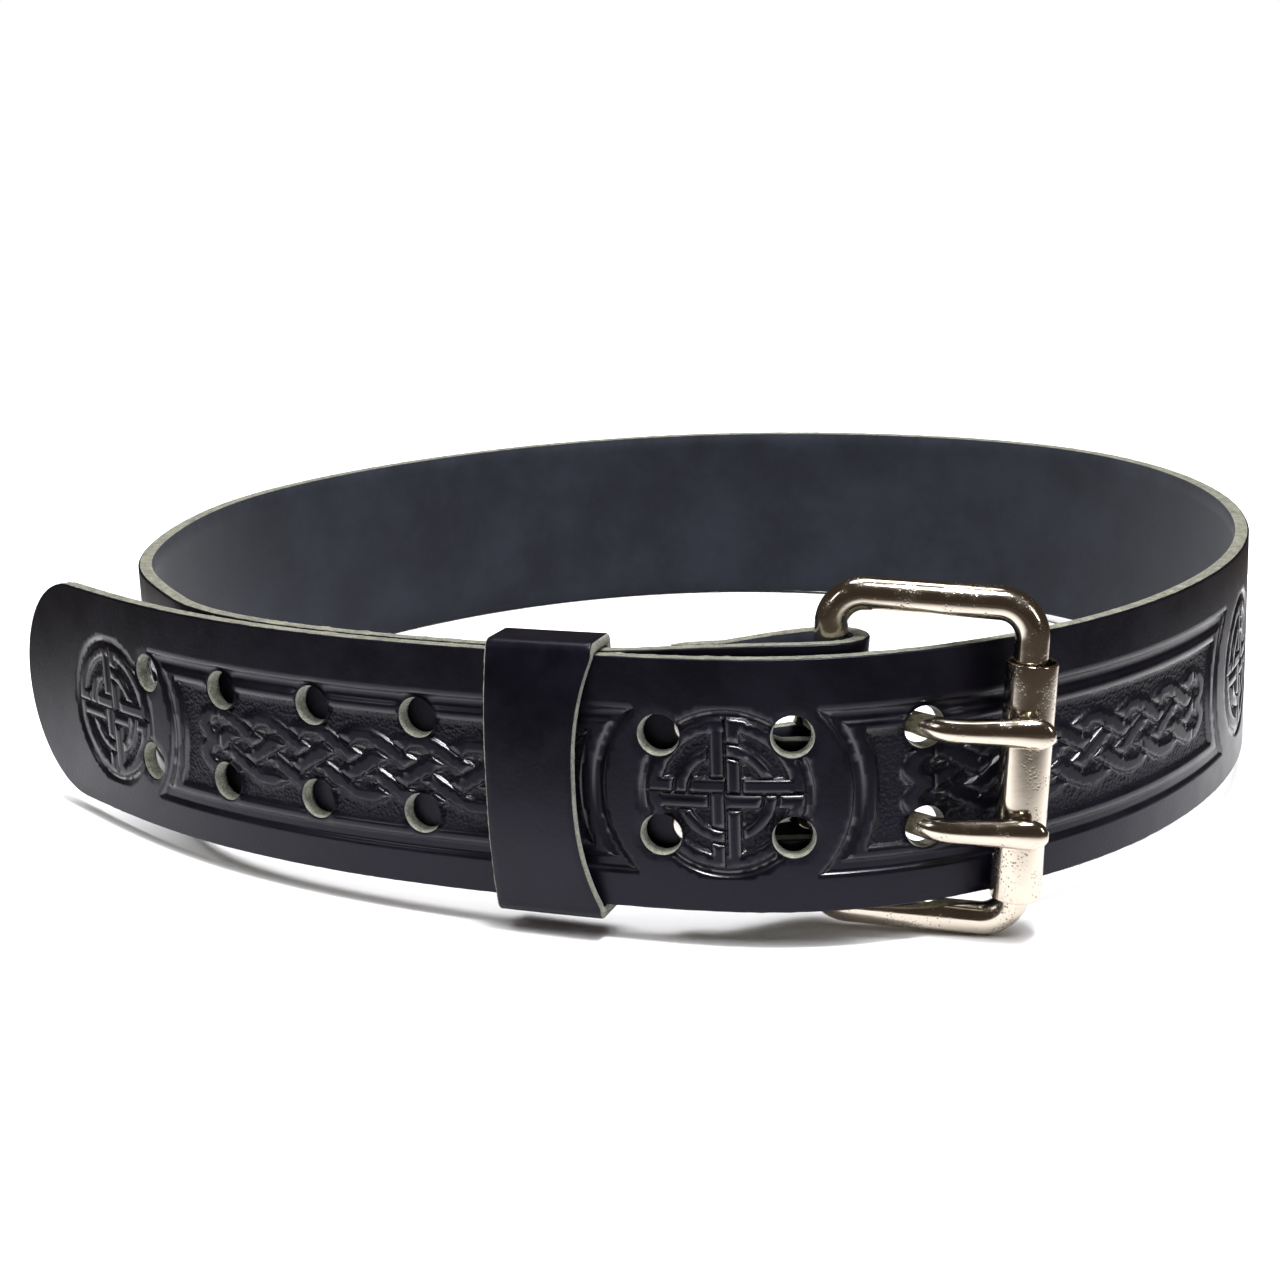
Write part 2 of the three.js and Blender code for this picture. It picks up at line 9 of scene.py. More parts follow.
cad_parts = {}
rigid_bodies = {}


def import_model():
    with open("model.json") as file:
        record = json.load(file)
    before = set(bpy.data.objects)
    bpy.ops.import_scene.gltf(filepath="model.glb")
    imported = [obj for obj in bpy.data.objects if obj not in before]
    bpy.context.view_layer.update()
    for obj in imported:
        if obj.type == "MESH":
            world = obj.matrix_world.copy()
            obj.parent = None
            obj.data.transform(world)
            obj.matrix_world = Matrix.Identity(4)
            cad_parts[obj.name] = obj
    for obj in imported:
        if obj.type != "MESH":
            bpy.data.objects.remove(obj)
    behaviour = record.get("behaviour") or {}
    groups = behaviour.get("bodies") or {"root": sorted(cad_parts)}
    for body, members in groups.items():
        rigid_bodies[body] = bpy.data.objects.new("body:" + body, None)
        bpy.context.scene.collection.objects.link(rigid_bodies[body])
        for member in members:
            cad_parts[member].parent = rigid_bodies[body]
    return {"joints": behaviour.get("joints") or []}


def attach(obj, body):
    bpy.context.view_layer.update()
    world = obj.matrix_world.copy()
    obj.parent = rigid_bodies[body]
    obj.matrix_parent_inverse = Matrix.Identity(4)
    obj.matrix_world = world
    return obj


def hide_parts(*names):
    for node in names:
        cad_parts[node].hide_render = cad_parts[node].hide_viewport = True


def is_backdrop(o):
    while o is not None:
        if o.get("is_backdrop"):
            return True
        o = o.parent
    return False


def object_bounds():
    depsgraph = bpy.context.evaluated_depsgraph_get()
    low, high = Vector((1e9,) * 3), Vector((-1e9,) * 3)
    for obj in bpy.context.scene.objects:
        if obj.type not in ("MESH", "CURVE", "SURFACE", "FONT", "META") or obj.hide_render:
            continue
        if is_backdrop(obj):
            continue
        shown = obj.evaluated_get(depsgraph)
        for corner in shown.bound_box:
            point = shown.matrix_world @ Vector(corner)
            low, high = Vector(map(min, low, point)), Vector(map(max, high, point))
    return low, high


for leftover in list(bpy.data.objects):
    bpy.data.objects.remove(leftover)
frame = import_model()
cad_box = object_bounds()

MM = 0.001


# The strap
# One long strip of thick black leather, embossed on the grain side, with a rounded free end and punched
# holes. Its cut edges are raw, and its flesh side is matt. It lies along one smooth bend from the free end
# round the ring, and its buckle end comes back on the inside, slotted, folded and riveted.
STRAP_WIDTH = 57 * MM
STRAP_THICKNESS = 3.6 * MM
RING_WIDTH = 306 * MM
RING_DEPTH = 327 * MM
CLEARANCE = 0.3 * MM
WIRE_DIAMETER = 7.5 * MM
FIRST_HOLE = 64.5 * MM
HOLE_PITCH = 28.9 * MM
HOLE_PAIRS = 8
HOLE_ROW_SPACING = 22.6 * MM
HEEL_TO_HOLE = 19.9 * MM
HEEL_TO_ROLLER = 39.2 * MM
OVERLAP_START = 120 * MM
GAP_OPENS_OVER = 20 * MM
RETURN_LENGTH = 38 * MM
RETURN_BEVEL = 4 * MM
RETURN_END_THICKNESS = 0.9 * MM
FOLD_CLEARANCE = 1.3 * MM
RIVET_FROM_HEEL = 31.4 * MM
RIVET_HEAD_DIAMETER = 9 * MM
RIVET_HEAD_HEIGHT = 0.8 * MM
RIVET_SEAT = 0.4 * MM
RIVET_HEADROOM = 0.6 * MM
KEEPER_START = 170.8 * MM
KEEPER_WIDTH = 21.2 * MM
BUCKLE_LEAN = math.radians(3.7)
BUCKLE_RISE = 4.2 * MM
BUCKLE_END_LIFT = 1.7 * MM
RUN_STEP = 0.8 * MM
JOIN_STEPS = 60
FOLD_STEPS = 30

# Control points of the bend, as shares of half the ring's width and depth
RING_ROWS = [
    dict(across=-1.190, deep=-0.232),
    dict(across=-1.095, deep=-0.335),
    dict(across=-0.875, deep=-0.585),
    dict(across=-0.570, deep=-0.790),
    dict(across=-0.230, deep=-0.925),
    dict(across=0.090, deep=-1.025),
    dict(across=0.360, deep=-0.965),
    dict(across=0.640, deep=-0.800),
    dict(across=0.885, deep=-0.487),
    dict(across=1.005, deep=-0.118),
    dict(across=1.010, deep=0.275),
    dict(across=0.860, deep=0.670),
    dict(across=0.495, deep=0.925),
    dict(across=0.075, deep=1.035),
    dict(across=-0.350, deep=0.948),
    dict(across=-0.703, deep=0.713),
    dict(across=-0.954, deep=0.385),
    dict(across=-1.009, deep=0.010),
    dict(across=-0.990, deep=-0.260),
    dict(across=-0.866, deep=-0.492),
]

half_thickness = STRAP_THICKNESS / 2
half_wire = WIRE_DIAMETER / 2
fold_radius = half_wire + FOLD_CLEARANCE + half_thickness
heel_station = FIRST_HOLE + HOLE_PITCH * (HOLE_PAIRS - 1) - HEEL_TO_HOLE
rivet_station = heel_station - RIVET_FROM_HEEL
keeper_end = KEEPER_START + KEEPER_WIDTH
hole_rows = [STRAP_WIDTH / 2 - HOLE_ROW_SPACING / 2, STRAP_WIDTH / 2 + HOLE_ROW_SPACING / 2]


def smooth(x):
    """A soft step from 0 to 1 as x goes from 0 to 1."""
    x = np.clip(x, 0, 1)
    return x * x * (3 - 2 * x)


def turned_right(heading):
    """Directions turned a quarter to the right: out of the ring, for a heading along the strap."""
    return np.stack([heading[..., 1], -heading[..., 0]], -1)


class Run:
    """A line on the floor plan, asked for its place at any distance from its start."""

    def __init__(self, points):
        self.points = points
        steps = np.linalg.norm(np.diff(points, axis=0), axis=1)
        self.distance = np.concatenate([[0], np.cumsum(steps)])
        self.length = self.distance[-1]
        heading = np.gradient(points, self.distance, axis=0)
        self.heading = heading / np.linalg.norm(heading, axis=1, keepdims=True)

    def read(self, values, distance):
        return np.stack([np.interp(distance, self.distance, column) for column in values.T], -1)

    def at(self, distance, inward=0.0):
        """Places and outward directions at some distances, moved towards the ring's inside."""
        outward = turned_right(self.read(self.heading, distance))
        outward /= np.linalg.norm(outward, axis=-1, keepdims=True)
        shift = np.asarray(inward)[..., None]
        return self.read(self.points, distance) - outward * shift, outward


def ring_run(per_span=60):
    """The bend through the control points: a uniform cubic B-spline."""
    half = np.array([RING_WIDTH - STRAP_THICKNESS, RING_DEPTH - STRAP_THICKNESS]) / 2
    rows = np.array([[row["across"], row["deep"]] for row in RING_ROWS]) * half
    rows = np.vstack([2 * rows[0] - rows[1], rows, 2 * rows[-1] - rows[-2]])
    t = np.arange(per_span + 1) / per_span
    shares = [(1 - t) ** 3, 3 * t**3 - 6 * t**2 + 4, -3 * t**3 + 3 * t**2 + 3 * t + 1, t**3]
    weights = np.stack(shares, 1) / 6
    spans = [weights @ rows[i:i + 4] for i in range(len(rows) - 3)]
    return Run(np.vstack([span[:-1] for span in spans[:-1]] + [spans[-1]]))


tongue = ring_run()
rivet_layer_gap = RIVET_SEAT + RIVET_HEAD_HEIGHT + RIVET_HEADROOM


def layer_offset(station):
    """Distance from the strap's middle to the middle of the layer behind it."""
    opening = smooth((station - keeper_end) / GAP_OPENS_OVER)
    return STRAP_THICKNESS + CLEARANCE + (rivet_layer_gap - CLEARANCE) * opening


def return_gap(station):
    """Room between the two layers of the fold: shut at the rivets, as wide as the wire at the bar."""
    shut = rivet_station + RIVET_HEAD_DIAMETER / 2 + CLEARANCE
    share = np.clip((station - shut) / (heel_station - shut), 0, 1)
    wide = WIRE_DIAMETER + 2 * FOLD_CLEARANCE
    return CLEARANCE + (wide - CLEARANCE) * np.sin(share * math.pi / 2)


def stretch(stations, inward, sign=1, half=half_thickness):
    """A stretch beside the bend: places, outward directions, half thicknesses and stations."""
    centre, outward = tongue.at(stations, inward)
    return centre, outward * sign, np.full(len(stations), half), stations


def join_stretch(start, start_out):
    """The stretch that swings in behind the tongue, from the ring's end to the layer's start."""
    joint = np.array([OVERLAP_START])
    end, end_out = (values[0] for values in tongue.at(joint, layer_offset(joint)))
    handle = np.linalg.norm(end - start) / 3
    ahead = lambda outward: np.array([-outward[1], outward[0]])
    t = np.linspace(0, 1, JOIN_STEPS)[1:-1, None]
    inner_a, inner_b = start + ahead(start_out) * handle, end - ahead(end_out) * handle
    curve = (1 - t) ** 3 * start + 3 * t * (1 - t) ** 2 * inner_a + 3 * t**2 * (1 - t) * inner_b + t**3 * end
    run = Run(np.vstack([start, curve, end]))
    centre, outward = run.at(run.distance[1:-1])
    return centre, outward, np.full(len(curve), half_thickness), np.full(len(curve), OVERLAP_START)


def fold_stretch(centre, outward):
    """Half a turn round the heel bar."""
    angles = np.linspace(0, math.pi, FOLD_STEPS)
    across = np.array([-outward[1], outward[0]])
    turn = np.outer(np.cos(angles), outward) + np.outer(np.sin(angles), across)
    return (centre + turn * fold_radius, turn,
            np.full(len(turn), half_thickness), np.full(len(turn), heel_station))


def return_stretch():
    """The end that comes back inside the ring, pared thin at its tip."""
    back = np.arange(heel_station, heel_station - RETURN_LENGTH, -RUN_STEP)[1:]
    bevel = np.clip((back - (heel_station - RETURN_LENGTH)) / RETURN_BEVEL, 0, 1)
    thickness = RETURN_END_THICKNESS + (STRAP_THICKNESS - RETURN_END_THICKNESS) * bevel
    inward = layer_offset(back) + half_thickness + return_gap(back) + thickness / 2
    return stretch(back, inward, -1, thickness / 2)


ring_stretch = stretch(np.linspace(0, tongue.length, round(tongue.length / RUN_STEP)), 0.0)
lane_stations = np.arange(OVERLAP_START, heel_station, RUN_STEP)
heel = np.array([heel_station])
heel_centre, heel_out = (values[0] for values in tongue.at(heel, layer_offset(heel) + fold_radius))
stretches = [
    ring_stretch,
    join_stretch(ring_stretch[0][-1], ring_stretch[1][-1]),
    stretch(lane_stations, layer_offset(lane_stations)),
    fold_stretch(heel_centre, heel_out),
    return_stretch(),
]
centres, outwards, halves, stations = zip(*stretches)
strap_run = Run(np.vstack(centres))
strap_outward = np.vstack(outwards)
strap_half = np.concatenate(halves)
strap_station = np.concatenate(stations)
starts = np.cumsum([0] + [len(centre) for centre in centres])
join_start, lane_start, fold_start, return_start = (strap_run.distance[i] for i in starts[1:5])
settle_share = smooth((strap_station - keeper_end) / (heel_station - fold_radius * 2 - keeper_end))
settle_share[:starts[2]] = 0


def length_on_lane(station):
    """Strap length where the layer behind the tongue passes a station."""
    return lane_start + np.interp(station, strap_station[starts[2]:starts[3]],
                                  strap_run.distance[starts[2]:starts[3]] - lane_start)


def length_on_return(station):
    """Strap length where the returned end passes a station."""
    stations = strap_station[starts[4]:][::-1]
    return float(np.interp(station, stations, strap_run.distance[starts[4]:][::-1]))


# The buckle's own frame: X from heel bar to roller, -Y out of the ring, Z along the bars
ROLLER_PLAY = 1.1 * MM
ROLLER_WALL = 0.8 * MM
ROLLER_GAP = 1.4 * MM
ROLLER_DROP = 3.1 * MM
ROLLER_SHIFT = 0.4 * MM
ROLLER_END_ROOM = 5.3 * MM
FRAME_HEADROOM = 3.6 * MM
FRAME_CORNER_RADIUS = 7.2 * MM

roller_radius = half_wire + ROLLER_PLAY + ROLLER_WALL
frame_height = STRAP_WIDTH + 2 * (FRAME_HEADROOM + WIRE_DIAMETER)
roller_side = -(half_thickness + ROLLER_GAP + roller_radius)
roller_centre = tongue.at(np.array([heel_station + HEEL_TO_ROLLER]), roller_side)[0][0]
bar_spacing = np.linalg.norm(roller_centre - heel_centre)
buckle_heading = (roller_centre - heel_centre) / bar_spacing
pivot_height = STRAP_WIDTH / 2 + BUCKLE_RISE
buckle_place = (
    Matrix.Translation((heel_centre[0], heel_centre[1], pivot_height))
    @ Matrix.Rotation(math.atan2(buckle_heading[1], buckle_heading[0]), 4, "Z")
    @ Matrix.Rotation(BUCKLE_LEAN, 4, "Y")
)


def rest_turn():
    """The small tilt of the belt, which stands on the buckle's lower corner and on the edge opposite."""
    low = buckle_place @ Vector((bar_spacing - FRAME_CORNER_RADIUS, 0, -frame_height / 2))
    away = Vector((-low.x, -low.y, 0)).normalized()
    edge = tongue.at(np.linspace(heel_station, tongue.length, 121), -half_thickness)[0]
    reach = max((Vector((x, y, 0)) - low).dot(away) for x, y in edge)
    return Matrix.Rotation(math.atan2(-low.z, reach), 4, Vector((-away.y, away.x, 0)))


rest_tilt = rest_turn()
roller_at = Vector(frame["joints"][0]["pos_m"])
roller_local = Vector((bar_spacing + ROLLER_SHIFT, 0, -ROLLER_DROP))
rest_place = Matrix.Translation(roller_at - rest_tilt @ (buckle_place @ roller_local)) @ rest_tilt


def to_rest(points):
    """Points of the upright belt, moved to where it stands."""
    matrix = np.array(rest_place)
    return np.asarray(points) @ matrix[:3, :3].T + matrix[:3, 3]


def strap_points(length, height, side, depth=0.0):
    """Points on the strap: side 1 is the grain face, -1 the flesh face, and depth sinks below the face."""
    centre = strap_run.read(strap_run.points, length)
    outward = strap_run.read(strap_outward, length)
    outward /= np.linalg.norm(outward, axis=1, keepdims=True)
    half = np.interp(length, strap_run.distance, strap_half)
    share = np.interp(length, strap_run.distance, settle_share)
    plan = centre + outward * (side * half - side * depth)[:, None]
    plan += buckle_heading * ((height - pivot_height) * math.tan(BUCKLE_LEAN) * share)[:, None]
    return to_rest(np.column_stack([plan, height + BUCKLE_END_LIFT * share]))


# The strap's cut: its free end, holes, slots and edges, and how fine its mesh is
TIP_LENGTH = 27.5 * MM
HOLE_RADIUS = 4.8 * MM
HOLE_LIP = 0.25 * MM
HOLE_TAPER = 0.6 * MM
HOLE_LIP_DIP = 0.22 * MM
HOLE_LIP_REACH = 0.9 * MM
HOLE_POINTS = 40
HOLE_CHORD_SHARE = 0.985
EYE_RADIUS = 7.65 * MM
SLOT_END_PLAY = 6.5 * MM
SLOT_HEIGHT = 7.6 * MM
SLOT_LIP = 0.2 * MM
RIVET_HOLE_RADIUS = 2.0 * MM
RIVET_HOLE_POINTS = 16
RIVET_HOLE_LIP = 0.05 * MM
EDGE_ROUNDING = 0.45 * MM
EDGE_FUZZ = 0.09 * MM
FRONT_CELL = 1.1 * MM
BACK_CELL = 1.9 * MM
CONTOUR_STEP = 0.1 * MM
FRONT_SPACING = 0.45 * MM
BACK_SPACING = 1.15 * MM
CONTOUR_DEPTHS = [0.03 * MM, 0.13 * MM, 0.40 * MM, 0.70 * MM]
CONTOUR_SLOPE = 0.35
PLAIN_CELL = 2.6 * MM
FOLD_MARGIN = 8 * MM
FLESH_CELL = 4.5 * MM
EDGE_STEP = 1.6 * MM
FOLD_STEP = 0.9 * MM
FOLD_ZONE = 10 * MM
FINE_UNTIL = 440 * MM

# Embossing, from the free end: medallions at one pitch, and a panel of plaitwork between each two
MEDALLION_FIRST = 46.6 * MM
MEDALLION_PITCH = 176.8 * MM
MOTIF_HEIGHT = 27.1 * MM
MOTIF_REACH = 21.3 * MM
STEP_WIDTH = 0.45 * MM
GROUND_DEPTH = 0.8 * MM
CHANNEL_DEPTH = 0.45 * MM
RIM_DEPTH = 0.08 * MM
# A panel's channel, rim and ground: the radius of its ends round the medallion's middle, and half its height
PANEL_BORDERS = [
    dict(arc=27.2 * MM, half=18.4 * MM),
    dict(arc=29.5 * MM, half=15.5 * MM),
    dict(arc=32.8 * MM, half=12.9 * MM),
]
PLAIT_SHIFT = 1.2 * MM
PLAIT_PITCH = 58.8 * MM
PLAIT_SWING = 7.2 * MM
PLAIT_REACH = 44.1 * MM
PLAIT_END = 5.2 * MM
PLAIT_ROUNDNESS = 0.93
BAND_HALF = 1.95 * MM
BAND_GAP = 0.55 * MM
MEDALLION_RADIUS = 18.9 * MM
RING_OUTER = 17.0 * MM
RING_INNER = 14.0 * MM
ARC_OUTER = 11.1 * MM
ARC_INNER = 8.5 * MM
BAR_WIDTH = 3.2 * MM
BAR_SPLIT = 0.3 * MM


def rise(distance, width=STEP_WIDTH):
    """A soft step where a distance turns positive."""
    return smooth(distance / width + 0.5)


def panel_distance(length, height, border):
    """How far inside a panel's border a place is. The ends of the border are arcs round the medallions."""
    across = (length - MEDALLION_FIRST) % MEDALLION_PITCH
    up = height - MOTIF_HEIGHT
    near = np.hypot(np.minimum(across, MEDALLION_PITCH - across), up)
    return np.minimum(near - border["arc"], border["half"] - np.abs(up))


def plait(length, height):
    """Height of the plaited bands, 0 on the ground and 1 on the bands, in the panel's middle."""
    across = (length - MEDALLION_FIRST) % MEDALLION_PITCH - MEDALLION_PITCH / 2 - PLAIT_SHIFT
    up = height - MOTIF_HEIGHT
    scale = PLAIT_SWING / math.asin(PLAIT_ROUNDNESS)
    total = np.zeros_like(length)
    bands = []
    for quarter in range(4):
        phase = 2 * math.pi * across / PLAIT_PITCH + quarter * math.pi / 2
        swing = scale * np.arcsin(PLAIT_ROUNDNESS * np.sin(phase))
        slope = scale * PLAIT_ROUNDNESS * np.cos(phase) * 2 * math.pi / PLAIT_PITCH
        slope /= np.sqrt(1 - (PLAIT_ROUNDNESS * np.sin(phase)) ** 2)
        distance = np.abs(up - swing) / np.hypot(1, slope)
        over = np.sign(np.cos(phase)) * np.cos(4 * phase) * np.minimum(1, 2.5 * np.abs(np.cos(phase)))
        bands.append((distance, over))
    for i, (distance, over) in enumerate(bands):
        shape = band_shape(distance)
        for j, (other, other_over) in enumerate(bands):
            if i != j:
                crossing = 1 - rise(other - BAND_HALF - BAND_GAP / 2, BAND_GAP)
                shape = shape * (1 - crossing * (other_over > over))
        total = np.maximum(total, shape)
    inside = rise(PLAIT_REACH - np.abs(across), 0.2 * MM)
    beyond = np.maximum(np.abs(across) - PLAIT_REACH, 0)
    middle = np.abs(up) - PLAIT_SWING / 2
    oval = np.hypot(beyond / PLAIT_END, middle / (PLAIT_SWING / 2))
    loop = band_shape(np.abs(oval - 1) * (PLAIT_END + PLAIT_SWING / 2) / 2) * (1 - inside)
    return np.maximum(total * inside, loop)


def band_shape(distance):
    """Section of a band: steep sides and a slightly rounded top."""
    crown = np.sqrt(np.clip(1 - (distance / (BAND_HALF * 1.25)) ** 2, 0, 1))
    return rise(BAND_HALF - distance, 0.5 * MM) * (0.68 + 0.32 * crown)


def medallion(length, height):
    """Height of a medallion's bars, arcs and ring, 0 on the ground and 1 on top, in four equal turns."""
    across = (length - MEDALLION_FIRST + MEDALLION_PITCH / 2) % MEDALLION_PITCH - MEDALLION_PITCH / 2
    up = height - MOTIF_HEIGHT
    radius = np.hypot(across, up)
    turned = ((across >= 0) & (up < 0)) | ((across < 0) & (up >= 0))
    x = np.where(turned, np.abs(up), np.abs(across))
    y = np.where(turned, np.abs(across), np.abs(up))
    edge = 0.42 * MM
    bar = lambda a: rise(a - BAR_SPLIT, edge) * rise(BAR_WIDTH - a, edge)
    upright, level = bar(x), bar(y)
    arc = rise(radius - ARC_INNER, edge) * rise(ARC_OUTER - radius, edge) * rise(x - BAR_SPLIT, edge)
    arc *= rise(y - BAR_WIDTH - BAND_GAP, edge)
    moat = rise(radius - ARC_INNER + BAND_GAP, edge) * rise(ARC_OUTER + BAND_GAP - radius, edge)
    upright = upright * (1 - moat * rise(y - BAR_WIDTH - BAND_GAP, edge))
    level = level * rise(x - BAR_WIDTH - BAND_GAP, edge)
    ring = rise(radius - RING_INNER, edge) * rise(RING_OUTER - radius, edge) * rise(x - BAR_SPLIT, edge)
    return np.maximum.reduce([upright, level, arc, ring]) * rise(RING_OUTER - radius, edge), radius


def embossing(length, height):
    """How deep the grain face is pressed in, and where it is pebbled ground."""
    ground_drop = GROUND_DEPTH - RIM_DEPTH
    channel, rim, ground = (rise(panel_distance(length, height, border)) for border in PANEL_BORDERS)
    bands = plait(length, height)
    panel = CHANNEL_DEPTH * channel - (CHANNEL_DEPTH - RIM_DEPTH) * rim + ground_drop * ground * (1 - bands)
    after_first = length > MEDALLION_FIRST
    depth = np.where(after_first, panel, 0)
    pebbles = np.where(after_first, ground * (1 - bands), 0)
    raised, radius = medallion(length, height)
    disc = rise(RING_OUTER - radius)
    round_channel = rise(MEDALLION_RADIUS - radius) * (1 - disc)
    depth += CHANNEL_DEPTH * round_channel + (GROUND_DEPTH - ground_drop * raised) * disc
    pebbles += disc * (1 - raised)
    embossed = length < join_start
    return depth * embossed, pebbles * embossed


def new_hole(length, height, radius, lip, points=HOLE_POINTS, straight=0.0, taper=0.0):
    """A hole through the flat strap: its middle, radius, straight half length, pressed lip and taper."""
    return dict(at=(length, height), radius=radius, lip=lip, points=points, straight=straight, taper=taper)


def hole_list():
    """The punched holes, then the prongs' slots, then the rivets' holes."""
    holes = [new_hole(FIRST_HOLE + HOLE_PITCH * pair, row, HOLE_RADIUS, HOLE_LIP, taper=HOLE_TAPER)
             for pair in range(HOLE_PAIRS) for row in hole_rows]
    slot_middle = (fold_start + return_start) / 2
    slot_straight = (return_start - fold_start) / 2 + EYE_RADIUS + SLOT_END_PLAY - SLOT_HEIGHT / 2
    for height in prong_heights:
        level = pivot_height + height - BUCKLE_END_LIFT
        holes.append(new_hole(slot_middle, level, SLOT_HEIGHT / 2, SLOT_LIP, straight=slot_straight))
    for row in hole_rows:
        for length in (length_on_lane(rivet_station), length_on_return(rivet_station)):
            holes.append(new_hole(length, row, RIVET_HOLE_RADIUS, RIVET_HOLE_LIP, RIVET_HOLE_POINTS))
    return holes


def hole_loop(hole, grow=0.0):
    """Points round a hole or slot, counter-clockwise seen from the grain side."""
    radius = hole["radius"] + grow
    angles = 2 * math.pi * np.arange(hole["points"]) / hole["points"]
    loop = np.column_stack([np.cos(angles), np.sin(angles)]) * radius
    loop[:, 0] += np.sign(np.round(loop[:, 0], 9)) * hole["straight"]
    if hole["straight"]:
        count = max(2, round(2 * hole["straight"] / FOLD_STEP))
        cuts = np.linspace(hole["straight"], -hole["straight"], count)[1:-1]
        quarter = hole["points"] // 4
        top = np.column_stack([cuts, np.full(len(cuts), radius)])
        bottom = np.column_stack([-cuts, np.full(len(cuts), -radius)])
        upper = loop[quarter:quarter * 3 + 1]
        upper[0, 0], upper[-1, 0] = -hole["straight"], -hole["straight"]
        lower = np.vstack([loop[quarter * 3:], loop[:quarter + 1]])
        lower[0, 0], lower[-1, 0] = hole["straight"], hole["straight"]
        loop = np.vstack([lower, top, upper, bottom])
    return loop + np.array(hole["at"])


def prong_levels():
    """Heights of the two prongs in the buckle's frame, from the tongue's holes that they pass."""
    centre = tongue.at(np.array([FIRST_HOLE + HOLE_PITCH * (HOLE_PAIRS - 1)]))[0][0]
    back = buckle_place.inverted()
    return [(back @ Vector((centre[0], centre[1], row))).z for row in hole_rows]


prong_heights = prong_levels()


def strap_outline(inset):
    """The flat strap's outline, counter-clockwise from the free end's lower side."""
    half = STRAP_WIDTH / 2
    total = strap_run.length
    angles = np.radians(np.arange(-87, 90, 3))
    tip = np.column_stack([TIP_LENGTH * (1 - np.cos(angles)), half + half * np.sin(angles)])
    normal = np.column_stack([-np.cos(angles) / TIP_LENGTH, np.sin(angles) / half])
    normal /= np.linalg.norm(normal, axis=1, keepdims=True)
    tip = (tip - normal * inset)[::-1]
    fine_from, fine_to = fold_start - FOLD_ZONE, return_start + FOLD_ZONE
    zones = [(TIP_LENGTH, fine_from, EDGE_STEP), (fine_from, fine_to, FOLD_STEP),
             (fine_to, total - inset, EDGE_STEP)]
    steps = [np.linspace(a, b, round((b - a) / step) + 1)[:-1] for a, b, step in zones]
    along = np.concatenate([*steps, [total - inset]])
    lower = np.column_stack([along, np.full(len(along), inset)])
    rows = np.linspace(inset, STRAP_WIDTH - inset, 30)[1:-1]
    end = np.column_stack([np.full(len(rows), total - inset), rows])
    upper = np.column_stack([along[::-1], np.full(len(along), STRAP_WIDTH - inset)])
    return np.vstack([tip, lower, end, upper])


def grid(start, stop, low, high, cell, tall=None):
    """Points of a plain grid between two lengths and two heights."""
    tall = tall or cell
    along = np.arange(start + cell / 2, stop, cell)
    up = np.arange(low + tall / 2, high, tall)
    a, u = np.meshgrid(along, up, indexing="ij")
    return np.column_stack([a.ravel(), u.ravel()])


def relief_points(start, stop, low, high, spacing):
    """Points along the steps of the embossing, where the mesh has to be finest."""
    found = []
    for axis in (0, 1):
        steps = (CONTOUR_STEP, spacing) if axis == 0 else (spacing, CONTOUR_STEP)
        along, up = np.arange(start, stop, steps[0]), np.arange(low, high, steps[1])
        a, u = np.meshgrid(along, up, indexing="ij")
        depth = embossing(a.ravel(), u.ravel())[0].reshape(a.shape)
        near, far = (depth[:-1], depth[1:]) if axis == 0 else (depth[:, :-1], depth[:, 1:])
        first = (slice(0, -1), slice(None)) if axis == 0 else (slice(None), slice(0, -1))
        for level in CONTOUR_DEPTHS:
            steep = np.abs(far - near) > CONTOUR_SLOPE * CONTOUR_STEP
            crossed = ((near - level) * (far - level) < 0) & steep
            move = (level - near[crossed]) / (far - near)[crossed] * CONTOUR_STEP
            places = np.column_stack([a[first][crossed], u[first][crossed]])
            places[:, axis] += move
            found.append(places)
    return np.vstack(found)


def clear_of(points, taken, room):
    """Points that share no cell of a given size, nor a cell beside it, with the points already taken."""
    most_rows = 100000
    key = lambda cells: cells[:, 0] * most_rows + cells[:, 1]
    cells = np.floor(taken / room).astype(int)
    used = np.concatenate([key(cells + (i, j)) for i in (-1, 0, 1) for j in (-1, 0, 1)])
    return points[~np.isin(key(np.floor(points / room).astype(int)), np.unique(used))]


def from_hole(places, hole):
    """Distances of some places from a hole's middle, or from a slot's middle line."""
    along = np.maximum(np.abs(places[:, 0] - hole["at"][0]) - hole["straight"], 0)
    return np.hypot(along, places[:, 1] - hole["at"][1])


def inner_points(points, outline_inset, holes, room, hole_grow):
    """Keeps the points that lie inside the outline and clear of the holes."""
    half = STRAP_WIDTH / 2
    margin = outline_inset + room
    a, u = points[:, 0], points[:, 1]
    in_tip = ((a - TIP_LENGTH) / (TIP_LENGTH - margin)) ** 2 + ((u - half) / (half - margin)) ** 2
    keep = (a > TIP_LENGTH) | (in_tip < 1)
    keep &= (u > margin) & (u < STRAP_WIDTH - margin) & (a < strap_run.length - margin)
    for hole in holes:
        keep &= from_hole(points, hole) > hole["radius"] + hole_grow(hole) + room
    return points[keep]


